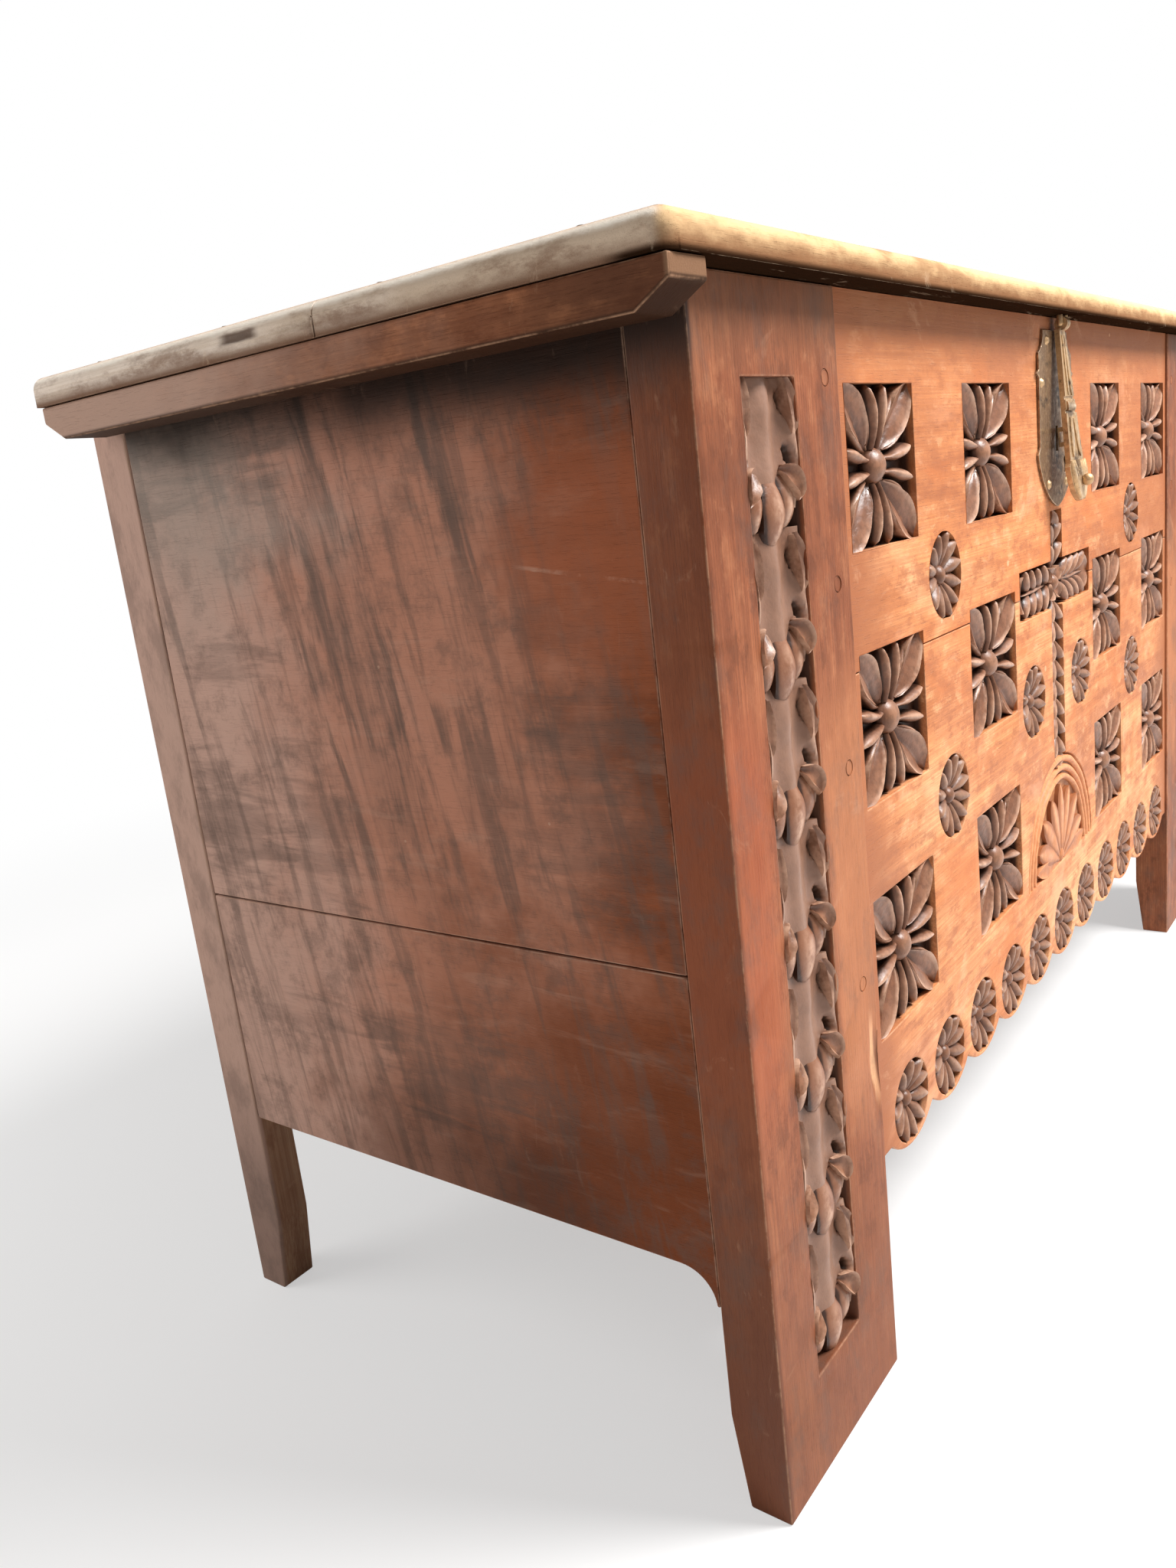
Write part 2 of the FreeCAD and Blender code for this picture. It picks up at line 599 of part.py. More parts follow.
def lid_board(label, start, stop, is_front):
    body = new_body(label)
    length = "(chest_length + 2 * lid_end)"
    at = ("0", f"({start} + {stop}) / 2", "chest_height")
    box_pad(body, "z", at, length, f"{stop} - ({start})", "lid_thickness")
    end_x, edge_y = number(f"{length} / 2"), number(start if is_front else stop)
    top_z = number("chest_height + lid_thickness")

    def corner(edge):
        box = edge.BoundBox
        return box.ZLength > 1 and abs(box.YMin - edge_y) < 0.01

    def rim(edge):
        box = edge.BoundBox
        outermost = max(abs(box.XMin), abs(box.XMax))
        on_end = box.XLength < number("lid_corner") + 0.01 and outermost > end_x - 0.01
        on_edge = abs(box.YMin - edge_y) < 0.01 and is_front
        return box.ZMin > top_z - 0.01 and (on_end or on_edge)

    if is_front:
        round_edges(body, corner, "lid_corner")
    round_edges(body, rim, "lid_round")
    for x, y in cleat_nail_places:
        if number(start) < number(y) < number(stop):
            at = (x, y, "chest_height + lid_thickness")
            drill(body, "z", at, "nail_radius + nail_clearance", "lid_thickness", -1)
    if is_front:
        for side in (-1, 1):
            at = (f"{side} * staple_half", hasp_y, "chest_height")
            drill(body, "z", at, "staple_radius + nail_clearance", "staple_depth + fit_clearance")
    else:
        for side in (-1, 1):
            for y in lid_nail_places:
                at = (f"{side} * hinge_x", y, "chest_height")
                drill(body, "z", at, "nail_radius + nail_clearance", "short_nail - strap_thickness")
    return body


cleat_start = f"({front} - lid_front + cleat_inset)"
cleat_stop = f"({front} + chest_depth - lid_rear - cleat_inset)"


def cleat(label, side):
    body = new_body(label)
    inset = "cleat_inset - lid_end" + ("" if side < 0 else " + cleat_width")
    blunt = "chest_height - cleat_height + cleat_chamfer_rise"
    low = "chest_height - cleat_height"
    corners = [
        (cleat_start, "chest_height"),
        (cleat_start, blunt),
        (f"{cleat_start} + cleat_chamfer_run", low),
        (f"{cleat_stop} - cleat_chamfer_run", low),
        (cleat_stop, blunt),
        (cleat_stop, "chest_height"),
    ]
    pad(body, outline(new_sketch(body, "x", (from_end(side, inset), "0", "0")), corners), "cleat_width")
    for x, y in cleat_nail_places:
        if number(x) * side > 0:
            drill(body, "z", (x, y, "chest_height"), "nail_radius + nail_clearance",
                  "long_nail - lid_thickness", -1)
    return body


# Nail places, shared by the nails and by every hole that they pass through
def spread(first, last, count):
    return [f"({first} + ({last} - {first}) * {step} / {count - 1})" for step in range(count)]


cleat_nail_places = []
for nail_side in (-1, 1):
    nail_x = from_end(nail_side, "cleat_inset - lid_end + cleat_width / 2")
    for nail_y in spread(f"({cleat_start} + cleat_nail_inset)", f"({cleat_stop} - cleat_nail_inset)", 4):
        cleat_nail_places.append((nail_x, nail_y))
lid_nail_places = spread(f"({hinge_y} - lid_strap_length + strap_width / 2)",
                         f"({hinge_y} - 2 * strap_width)", 3)
back_nail_heights = spread("(chest_height - back_strap_length + strap_width / 2)",
                           "(chest_height - strap_width)", 3)
plate_nail_places = [
    (f"{nail_side} * {x}", f"chest_height - {z}")
    for nail_side in (-1, 1)
    for x, z in (("(plate_neck - 2 * nail_head_radius)", "(plate_top + 2 * nail_head_radius)"),
                 ("(plate_half - nail_head_radius - 1)", "(case_top - nail_head_radius)"),
                 ("(hasp_leaf_width / 2 + nail_head_radius - 1)",
                  "(case_top + case_height + nail_head_radius)"))
]


# A forged nail, driven along a direction from the face where its head sits
def nail(at, direction, length):
    back = tuple(-step for step in direction)
    shank = rod("shank", at, direction, "nail_radius", length)
    head = doc.addObject("Part::Cone", "head")
    bind(head, "Radius1", "nail_head_radius")
    bind(head, "Radius2", "nail_head_radius / 2")
    bind(head, "Height", "nail_head_height")
    place(head, at, back)
    return fuse("nail", [shank, head])


def nails(label, places, direction, length):
    return node(group(label, [nail(at, direction, length) for at in places]), label)


# Strap hinges: a strap under the lid with the middle knuckle, a strap on the back with the outer two
def knuckle(name, x, length, radius):
    return rod(name, (f"{x} - ({length}) / 2", hinge_y, hinge_z), (1, 0, 0), radius, length)


def hinge(name, side):
    x = f"{side} * hinge_x"
    pin_room = "hinge_pin_radius + pin_clearance"
    outer_length = "((strap_width - knuckle_length) / 2 - knuckle_gap)"
    outer_shift = "(strap_width / 4 + knuckle_length / 4 + knuckle_gap / 2)"
    barrel_edge = f"({hinge_y} - knuckle_radius - hinge_play)"
    strap_start = f"({hinge_y} - lid_strap_length)"
    bore = knuckle("bore", x, "2 * strap_width", pin_room)

    leaf = block("leaf", (x, f"({strap_start} + {barrel_edge}) / 2", hinge_z),
                 ("strap_width", f"{barrel_edge} - {strap_start}", "strap_thickness"))
    neck = block("neck", (x, f"({barrel_edge} + {hinge_y}) / 2", hinge_z),
                 ("knuckle_length", f"{hinge_y} - {barrel_edge}", "strap_thickness"))
    middle = knuckle("knuckle", x, "knuckle_length", "knuckle_radius")
    holes = [rod("hole", (x, y, "chest_height - 2 * strap_thickness"), (0, 0, 1),
                 "nail_radius + nail_clearance", "3 * strap_thickness") for y in lid_nail_places]
    label = f"lid_strap_{name}"
    node(cut(label, fuse("strap", [leaf, neck, middle]), [bore] + holes), label)

    leaf_y = from_face(1, "plank_setback - strap_thickness / 2")
    low, high = "(chest_height - back_strap_length)", f"({hinge_z} - knuckle_radius - hinge_play)"
    parts = [block("leaf", (x, leaf_y, f"({low} + {high}) / 2"),
                   ("strap_width", "strap_thickness", f"{high} - {low}"))]
    for way in (-1, 1):
        at = f"{x} + {way} * {outer_shift}"
        parts.append(block("neck", (at, leaf_y, f"({high} + {hinge_z} - knuckle_radius / 2) / 2"),
                           (outer_length, "strap_thickness", f"{hinge_z} - knuckle_radius / 2 - {high}")))
        parts.append(knuckle("knuckle", at, outer_length, "knuckle_radius"))
    holes = [rod("hole", (x, from_face(1, "plank_setback + strap_thickness"), z), (0, 1, 0),
                 "nail_radius + nail_clearance", "3 * strap_thickness") for z in back_nail_heights]
    label = f"back_strap_{name}"
    node(cut(label, fuse("strap", parts), [bore] + holes), label)

    pin = knuckle("pin", x, "strap_width", "hinge_pin_radius")
    heads = [rod("head", (f"{x} + {way} * strap_width / 2", hinge_y, hinge_z), (way, 0, 0),
                 "pin_head_radius", "pin_head_height") for way in (-1, 1)]
    label = f"hinge_pin_{name}"
    node(fuse(label, [pin] + heads), label)


# Staple in the lid: two legs and the bar that the hasp swings on
def staple():
    parts = [rod("bar", ("-staple_half", hasp_y, hasp_z), (1, 0, 0), "staple_radius", "2 * staple_half")]
    for side in (-1, 1):
        at = (f"{side} * staple_half", hasp_y, hasp_z)
        parts.append(rod("leg", at, (0, 0, 1), "staple_radius", "hasp_axis_drop + staple_depth"))
        parts.append(ball("bend", at, "staple_radius"))
    return node(fuse("hasp_staple", parts), "hasp_staple")


# Hasp pieces are drawn shut, with the pivot at their own origin, and hang leaning off the plate
def hang(body):
    body.Placement = Placement(Vector(0, 0, 0), Rotation(Vector(1, 0, 0), -1))
    bind(body, ".Placement.Base.y", hasp_y)
    bind(body, ".Placement.Base.z", hasp_z)
    bind(body, ".Placement.Rotation.Angle", "-hasp_lean * 1deg")


def hasp_strap():
    body = new_body("hasp_strap")
    corners = [
        ("-hasp_neck / 2", "-hasp_shoulder"),
        ("-hasp_foot / 2", "-hasp_leaf_top"),
        ("-hasp_leaf_width / 2", "-(hasp_leaf_top + 4)"),
        ("0", "-hasp_length", "hasp_leaf_bulge", 1),
        ("hasp_leaf_width / 2", "-(hasp_leaf_top + 4)", "hasp_leaf_bulge", 1),
        ("hasp_foot / 2", "-hasp_leaf_top"),
        ("hasp_neck / 2", "-hasp_shoulder"),
    ]
    pad(body, outline(new_sketch(body, "y", ("0", "hasp_behind", "0")), corners), "hasp_thickness")
    eye = circle(new_sketch(body, "x", ("-hasp_eye_width / 2", "0", "0")), "hasp_eye_radius")
    pad(body, eye, "hasp_eye_width")
    drill(body, "x", ("-hasp_eye_width / 2", "0", "0"), "staple_radius + pin_clearance", "hasp_eye_width")
    for groove in ("groove_first", "groove_second"):
        box_pocket(body, "y", ("0", "hasp_behind", f"-{groove}"), "hasp_leaf_width", "groove_width",
                   "groove_depth")
    for step in (-1.5, -0.5, 0.5, 1.5):
        at = (f"{step} * flute_pitch", "hasp_behind", "-(hasp_leaf_top + flute_length / 2)")
        box_pocket(body, "y", at, "groove_width", "flute_length", "groove_depth")
    hang(body)


def hasp_loop():
    body = new_body("hasp_loop")
    back = "(hasp_behind + hasp_thickness)"
    at = ("-loop_thickness / 2", f"{back} + {loop_reach} / 2", "-loop_drop")
    box_pad(body, "x", at, loop_reach, "loop_height", "loop_thickness")
    eye_y = f"{back} + {loop_reach} - loop_wall - bolt_play - bolt_thickness / 2"
    box_pocket(body, "x", ("-loop_thickness / 2", eye_y, "-loop_drop"), "bolt_thickness + 2 * bolt_play",
               "bolt_height + 4 * bolt_play", "loop_thickness")
    hang(body)


def hasp_knob():
    body = new_body("hasp_knob")
    sketch = new_sketch(body, "x", ("0", "0", "-knob_drop"))
    reach = "sqrt(knob_radius * knob_radius - knob_stem_radius * knob_stem_radius)"
    outline(sketch, [
        ("hasp_behind", "0"),
        ("hasp_behind", "knob_stem_radius"),
        (f"-knob_forward + {reach}", "knob_stem_radius"),
        ("-knob_forward", "knob_radius", "knob_radius", 1),
        ("-knob_forward - knob_radius", "0", "knob_radius", 1),
    ])
    turned = body.newObject("PartDesign::Revolution", "turned")
    turned.Profile = sketch
    turned.ReferenceAxis = (sketch, ["H_Axis"])
    turned.Angle = 360
    hang(body)


# Lock plate on the plank face, with the slot for the loop and the keyhole
def lock_plate():
    body = new_body("lock_plate")
    right = [
        ("0", "-plate_tip"),
        ("plate_half + plate_cusp", "-plate_cusp_low", "plate_belly", 1),
        ("plate_half", "-plate_cusp_low + plate_cusp"),
        ("plate_half", "-plate_cusp_high - plate_cusp / 2"),
        ("plate_half + plate_cusp", "-plate_cusp_high"),
        ("plate_half", "-plate_cusp_high + plate_cusp / 2"),
        ("plate_half", "-plate_shoulder"),
        ("plate_neck", "-plate_top", "plate_half - plate_neck + plate_cusp", -1),
    ]
    left = [(f"-({u})", v, *rest) for (u, v, *rest) in reversed(right[1:])]
    # An arc belongs to the corner it ends at, so the mirrored arcs move on by one corner
    left[0] = left[0][:2]
    left[1] = (*left[1][:2], "plate_half - plate_neck + plate_cusp", -1)
    left[-1] = left[-1][:2]
    right[0] = (*right[0], "plate_belly", 1)
    sketch = new_sketch(body, "y", ("0", from_face(-1, "plank_setback"), "chest_height"))
    pad(body, outline(sketch, right + left), "plate_thickness", -1)
    face_y = from_face(-1, "plank_setback - plate_thickness")
    slot_height = "loop_height + 2 * slot_play + slot_below"
    box_pocket(body, "y", ("0", face_y, f"{bolt_z} - slot_below / 2"), "loop_thickness + 2 * slot_play",
               slot_height, "plate_thickness")
    key_z = f"{bolt_z} - key_drop"
    drill(body, "y", ("key_x", face_y, key_z), "keyhole_radius", "plate_thickness")
    box_pocket(body, "y", ("key_x", face_y, f"{key_z} - keyhole_length / 2"), "keyhole_slot",
               "keyhole_length", "plate_thickness")
    for x, z in plate_nail_places:
        drill(body, "y", (x, face_y, z), "nail_radius + nail_clearance", "plate_thickness")


# Lock behind the plate: open-fronted case, bolt in its guides, leaf spring and key pin
def lock():
    case_y = from_face(-1, "plank_setback + case_depth / 2")
    case_z = "(chest_height - case_top - case_height / 2)"
    shell = block("shell", ("0", case_y, case_z), ("case_length", "case_depth", "case_height"))
    inside = block("inside", ("0", f"{case_y} - case_wall", case_z),
                   ("case_length - 2 * case_wall", "case_depth", "case_height - 2 * case_wall"))
    node(cut("lock_case", shell, [inside]), "lock_case")

    near = f"({bolt_y} - bolt_thickness / 2 - bolt_play)"
    far = from_face(-1, "plank_setback + case_depth - case_wall")
    passage = block("passage", ("0", bolt_y, bolt_z), ("case_length", "bolt_thickness + 2 * bolt_play",
                                                       "bolt_height + 2 * bolt_play"))
    posts = []
    for x in ("-guide_near", "guide_near", "guide_far"):
        post = block("post", (x, f"({near} + {far}) / 2", bolt_z),
                     ("guide_width", f"{far} - {near}", "bolt_height + 2 * guide_margin"))
        posts.append(cut("guide", post, [passage]))
    node(group("bolt_guides", posts), "bolt_guides")

    bolt_x = "bolt_start + bolt_length / 2"
    node(block("lock_bolt", (bolt_x, bolt_y, bolt_z), ("bolt_length", "bolt_thickness", "bolt_height")),
         "lock_bolt")

    wall_z = "(chest_height - case_top - case_wall)"
    leaf_z = f"({bolt_z} + bolt_height / 2 + bolt_play + spring_thickness / 2)"
    spring_y = f"{bolt_y} + spring_width / 2 - bolt_thickness / 2"
    root_x = "bolt_start + bolt_length - spring_thickness / 2"
    leg = block("leg", (root_x, spring_y, f"({wall_z} + {leaf_z} - spring_thickness / 2) / 2"),
                ("spring_thickness", "spring_width", f"{wall_z} - {leaf_z} + spring_thickness / 2"))
    leaf = block("leaf", ("bolt_start + bolt_length - spring_length / 2", spring_y, leaf_z),
                 ("spring_length", "spring_width", "spring_thickness"))
    node(fuse("bolt_spring", [leg, leaf]), "bolt_spring")

    node(rod("key_pin", ("key_x", far, f"{bolt_z} - key_drop"), (0, -1, 0), "key_pin_radius",
             "case_depth - case_wall"), "key_pin")


# Oak pegs through each stile and the tongues inside it
def pegs(label, side, face):
    x, y = from_end(side, "stile_width - peg_inset"), from_face(face, "0")
    rods = [rod("peg", (x, y, z), (0, -face, 0), "peg_radius", "stile_thickness")
            for z in pegs_high + pegs_low]
    node(group(label, rods), label)


for side, hand in ((-1, "left"), (1, "right")):
    for face, end in ((-1, "front"), (1, "rear")):
        stile(f"{end}_stile_{hand}", side, face)
        pegs(f"{end}_pegs_{hand}", side, face)
    end_board(f"end_upper_{hand}", side, True)
    end_board(f"end_lower_{hand}", side, False)
    cleat(f"lid_cleat_{hand}", side)
    hinge(hand, side)
front_upper()
front_lower()
back_upper()
plank("back_lower_plank", 1, False)
floor_boards()
lid_board("lid_front_board", f"({front} - lid_front)", f"({front} + lid_joint - joint_gap / 2)", True)
lid_board("lid_rear_board", f"({front} + lid_joint + joint_gap / 2)",
          f"({front} + chest_depth - lid_rear)", False)
staple()
hasp_strap()
hasp_loop()
hasp_knob()
lock_plate()
lock()

lid_top = "chest_height + lid_thickness"
strap_under = "chest_height - strap_thickness"
strap_back = from_face(1, "plank_setback - strap_thickness")
nails("cleat_nails", [(x, y, lid_top) for x, y in cleat_nail_places], (0, 0, -1), "long_nail")
nails("lid_strap_nails", [(f"{side} * hinge_x", y, strap_under) for side in (-1, 1)
                          for y in lid_nail_places], (0, 0, 1), "short_nail")
nails("back_strap_nails", [(f"{side} * hinge_x", strap_back, z) for side in (-1, 1)
                           for z in back_nail_heights], (0, -1, 0), "short_nail")
plate_front = from_face(-1, "plank_setback - plate_thickness")
nails("plate_nails", [(x, plate_front, z) for x, z in plate_nail_places], (0, 1, 0), "short_nail")

# Rebuild, check every object, then write one file per sub-part
doc.recompute()
for item in doc.Objects:
    if "Invalid" in item.State or "Error" in item.State:
        raise RuntimeError(f"{item.Label} ({item.TypeId}) did not build: {item.State}")
os.makedirs("parts", exist_ok=True)
for item in nodes:
    shape = item.Shape
    if shape.isNull() or not shape.isValid() or not shape.Solids:
        raise RuntimeError(f"{item.Label} has no valid solid")
    shape.exportStep(f"parts/{item.Label}.step")
    print(item.Label, len(shape.Solids), "solids", round(shape.Volume / 1000, 1), "cm3")
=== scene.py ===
import json
import math
import bmesh
import bpy
from mathutils import Matrix, Vector, noise


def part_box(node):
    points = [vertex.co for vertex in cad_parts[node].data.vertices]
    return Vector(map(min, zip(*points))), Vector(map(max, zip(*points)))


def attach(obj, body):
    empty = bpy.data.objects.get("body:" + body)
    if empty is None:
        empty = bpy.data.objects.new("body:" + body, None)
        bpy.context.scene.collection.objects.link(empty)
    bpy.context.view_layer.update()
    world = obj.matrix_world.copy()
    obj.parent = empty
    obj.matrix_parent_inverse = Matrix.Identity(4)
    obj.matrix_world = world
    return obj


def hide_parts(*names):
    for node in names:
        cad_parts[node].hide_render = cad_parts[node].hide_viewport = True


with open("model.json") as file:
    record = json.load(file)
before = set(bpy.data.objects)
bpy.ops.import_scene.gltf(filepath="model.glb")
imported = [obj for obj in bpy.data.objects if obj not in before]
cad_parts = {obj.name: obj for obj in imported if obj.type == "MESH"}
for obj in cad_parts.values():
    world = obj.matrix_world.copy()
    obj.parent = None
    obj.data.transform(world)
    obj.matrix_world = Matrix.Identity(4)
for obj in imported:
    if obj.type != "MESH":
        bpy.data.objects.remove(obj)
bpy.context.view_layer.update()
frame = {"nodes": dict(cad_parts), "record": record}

nodes = frame["nodes"]
bodyOf = {name: body for body, names in frame["record"]["behaviour"]["bodies"].items() for name in names}
mm = 0.001


# small helpers for shader nodes
def setInputs(tree, node, inputs):
    for key, value in inputs.items():
        if isinstance(value, bpy.types.NodeSocket):
            tree.links.new(value, node.inputs[key])
        else:
            node.inputs[key].default_value = value
    return node


def put(tree, kind, inputs=None, **settings):
    node = tree.nodes.new("ShaderNode" + kind)
    for key, value in settings.items():
        setattr(node, key, value)
    return setInputs(tree, node, inputs or {})


def blendColour(tree, mask, under, over):
    return put(tree, "Mix", {0: mask, 6: under, 7: over}, data_type="RGBA").outputs[2]


def soften(tree, value, low, high, start=0, end=1):
    node = put(tree, "MapRange", {0: value, 1: low, 2: high, 3: start, 4: end}, interpolation_type="SMOOTHSTEP")
    return node.outputs[0]


def sums(tree, kind, a, b=0):
    return put(tree, "Math", {0: a, 1: b}, operation=kind).outputs[0]


def times(tree, a, b):
    return put(tree, "Math", {0: a, 1: b}, operation="MULTIPLY").outputs[0]


# lays coats, each a mask and the name of its tone, over a colour
def paint(tree, colour, tones, coats):
    for mask, name in coats:
        colour = blendColour(tree, mask, colour, tones[name])
    return colour


def stretched(tree, vector, scale, detail, rough, distort=0):
    mapped = put(tree, "Mapping", {"Vector": vector, "Scale": scale})
    texture = put(tree, "TexNoise", {"Vector": mapped.outputs[0], "Scale": 1, "Detail": detail,
                                     "Roughness": rough, "Distortion": distort})
    return texture.outputs[0]


def clouds(tree, vector, scale, *texture):
    return stretched(tree, vector, (scale, scale, scale), *texture)


def newGroup(name, inputs, outputs):
    tree = bpy.data.node_groups.new(name, "ShaderNodeTree")
    kinds = {"v": "NodeSocketVector", "f": "NodeSocketFloat"}
    for label, kind in inputs:
        tree.interface.new_socket(name=label, in_out="INPUT", socket_type=kinds[kind])
    for label in outputs:
        tree.interface.new_socket(name=label, in_out="OUTPUT", socket_type=kinds["f"])
    return tree, tree.nodes.new("NodeGroupInput").outputs, tree.nodes.new("NodeGroupOutput").inputs


def giveOut(tree, out, values):
    for name, value in values.items():
        tree.links.new(value, out[name])
    return tree


def useGroup(tree, group, inputs):
    node = tree.nodes.new("ShaderNodeGroup")
    node.node_tree = group
    return setInputs(tree, node, inputs).outputs


def axes(tree, vector):
    return put(tree, "SeparateXYZ", {0: vector}).outputs


def between(tree, value, rise, fall):
    return times(tree, soften(tree, value, *rise), soften(tree, value, *fall, 1, 0))


def wander(tree, value, texture, amount):
    return sums(tree, "ADD", value, times(tree, sums(tree, "SUBTRACT", texture, 0.5), amount))


# oak grain, running along X of the vector it is given
def makeOakGrain():
    tree, given, out = newGroup("oakGrain", [("Vector", "v"), ("Board", "f")],
                                ("Fibre", "Figure", "Pores", "Blotch", "Mottle"))
    shift = put(tree, "CombineXYZ", {0: given["Board"], 1: given["Board"], 2: given["Board"]})
    moved = put(tree, "VectorMath", {0: given["Vector"], 1: shift.outputs[0]}, operation="ADD").outputs[0]
    pores = stretched(tree, moved, (70, 1500, 1500), 2, 0.5)
    return giveOut(tree, out, {"Fibre": stretched(tree, moved, (9, 620, 620), 3, 0.6),
                               "Figure": stretched(tree, moved, (1.7, 46, 46), 4, 0.6, 0.7),
                               "Pores": soften(tree, pores, 0.6, 0.7),
                               "Blotch": stretched(tree, moved, (4.5, 9, 9), 4, 0.6, 0.3),
                               "Mottle": stretched(tree, moved, (34, 62, 62), 5, 0.68)})


# rubbed arrises: the edge value of the mesh, broken up
def makeRubbedEdges():
    tree, given, out = newGroup("rubbedEdges", [("Edge", "f"), ("Vector", "v"), ("Amount", "f")], ("Mask",))
    patchy = clouds(tree, given["Vector"], 38, 4, 0.65)
    fine = clouds(tree, given["Vector"], 260, 2, 0.6)
    broken = sums(tree, "ADD", times(tree, patchy, 0.75), times(tree, fine, 0.25))
    worn = times(tree, given["Edge"], soften(tree, broken, 0.36, 0.62))
    return giveOut(tree, out, {"Mask": times(tree, worn, given["Amount"])})


# specks and scuffs
def makeKnocks():
    tree, given, out = newGroup("knocks", [("Vector", "v")], ("Specks", "Scuffs"))
    dots = put(tree, "TexVoronoi", {"Vector": given["Vector"], "Scale": 34.0, "Randomness": 1})
    reach = soften(tree, clouds(tree, given["Vector"], 21, 1, 0.5), 0.55, 0.75, 0, 0.11)
    scuffs = stretched(tree, given["Vector"], (14, 60, 22), 5, 0.7, 1.2)
    return giveOut(tree, out, {"Specks": sums(tree, "LESS_THAN", dots.outputs["Distance"], reach),
                               "Scuffs": soften(tree, scuffs, 0.6, 0.72)})


# one leaning smudge with a border broken by a texture
smudgeShape = ("MiddleAcross", "MiddleUp", "HalfAcross", "HalfUp", "Lean", "Strength")


def makeSmudge():
    names = ("Across", "Up", "Texture") + smudgeShape
    tree, given, out = newGroup("smudge", [(name, "f") for name in names], ("Mask",))
    up = sums(tree, "SUBTRACT", given["Up"], given["MiddleUp"])
    across = sums(tree, "SUBTRACT", given["Across"], given["MiddleAcross"])
    across = sums(tree, "SUBTRACT", across, times(tree, up, given["Lean"]))
    wide = sums(tree, "POWER", sums(tree, "ABSOLUTE", sums(tree, "DIVIDE", across, given["HalfAcross"])), 2.0)
    tall = sums(tree, "POWER", sums(tree, "ABSOLUTE", sums(tree, "DIVIDE", up, given["HalfUp"])), 2.0)
    reach = wander(tree, sums(tree, "ADD", wide, tall), given["Texture"], 5.0)
    broken = times(tree, soften(tree, reach, 0.2, 1.3, 1, 0), soften(tree, given["Texture"], 0.34, 0.62, 1, 0.4))
    return giveOut(tree, out, {"Mask": times(tree, broken, given["Strength"])})


smudge = makeSmudge()
oakGrain = makeOakGrain()
rubbedEdges = makeRubbedEdges()
knocks = makeKnocks()
grainTurns = {"x": (0, 0, 0), "y": (0, 0, -math.pi / 2), "z": (0, math.pi / 2, 0)}


def startMaterial(name):
    material = bpy.data.materials.new(name)
    material.use_nodes = True
    tree = material.node_tree
    tree.nodes.clear()
    shader = put(tree, "BsdfPrincipled")
    output = tree.nodes.new("ShaderNodeOutputMaterial")
    tree.links.new(shader.outputs[0], output.inputs[0])
    return material, tree, shader, put(tree, "TexCoord").outputs["Object"]


def attribute(tree, name):
    return put(tree, "Attribute", attribute_name=name).outputs["Fac"]


def roughen(tree, shader, height):
    bump = put(tree, "Bump", {"Height": height, "Strength": 0.6, "Distance": 1})
    tree.links.new(bump.outputs[0], shader.inputs["Normal"])


def rubbed(tree, place, wear):
    inputs = {"Edge": attribute(tree, "edge"), "Vector": place, "Amount": wear}
    return useGroup(tree, rubbedEdges, inputs)["Mask"]


# waxed oak with grain, blotches, rubbed edges and knocks
def makeOak(name, look):
    material, tree, shader, place = startMaterial(name)
    along = put(tree, "Mapping", {"Vector": place, "Rotation": grainTurns[look["grain"]]}).outputs[0]
    grain = useGroup(tree, oakGrain, {"Vector": along, "Board": attribute(tree, "board")})
    colour = blendColour(tree, soften(tree, grain["Figure"], 0.32, 0.68), look["dark"], look["light"])
    colour = paint(tree, colour, look, [
        (soften(tree, grain["Blotch"], 0.48, 0.7, 0, look["blotch"]), "stain"),
        (soften(tree, grain["Blotch"], 0.3, 0.48, look["blotch"] * 0.6, 0), "fibreTone"),
        (soften(tree, grain["Mottle"], 0.36, 0.5, look["mottle"], 0), "fibreTone"),
        (soften(tree, grain["Mottle"], 0.52, 0.68, 0, look["mottle"]), "stain"),
        (soften(tree, grain["Fibre"], 0.4, 0.6, look["fibre"], 0), "fibreTone"),
        (times(tree, grain["Pores"], look["pores"]), "poreTone")])
    if "extra" in look:
        colour = look["extra"](tree, place, colour)
    marks = useGroup(tree, knocks, {"Vector": place})
    colour = paint(tree, colour, look, [(times(tree, marks["Scuffs"], look["scuffs"]), "rubAndHighlight"),
                                        (times(tree, marks["Specks"], look["specks"]), "rubAndHighlight"),
                                        (rubbed(tree, place, look["wear"]), "rubAndHighlight")])
    tree.links.new(colour, shader.inputs["Base Color"])
    rough = sums(tree, "ADD", times(tree, grain["Blotch"], 0.26), look["rough"])
    tree.links.new(sums(tree, "ADD", rough, times(tree, grain["Fibre"], 0.1)), shader.inputs["Roughness"])
    shader.inputs["Specular IOR Level"].default_value = look["gloss"]
    waves = stretched(tree, along, (5, 17, 17), 2, 0.5)
    height = sums(tree, "ADD", times(tree, grain["Fibre"], 0.00035), times(tree, waves, 0.0022))
    height = sums(tree, "ADD", height, times(tree, grain["Mottle"], 0.0006))
    roughen(tree, shader, sums(tree, "SUBTRACT", height, times(tree, grain["Pores"], 0.0003)))
    return material


def tone(red, green, blue):
    return (red, green, blue, 1)


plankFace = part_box("front_upper_plank")[0].y
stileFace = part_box("front_stile_left")[0].y
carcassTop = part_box("front_stile_left")[1].z
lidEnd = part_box("lid_front_board")[1].x
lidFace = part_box("lid_front_board")[0].y
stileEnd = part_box("front_stile_right")[1].x
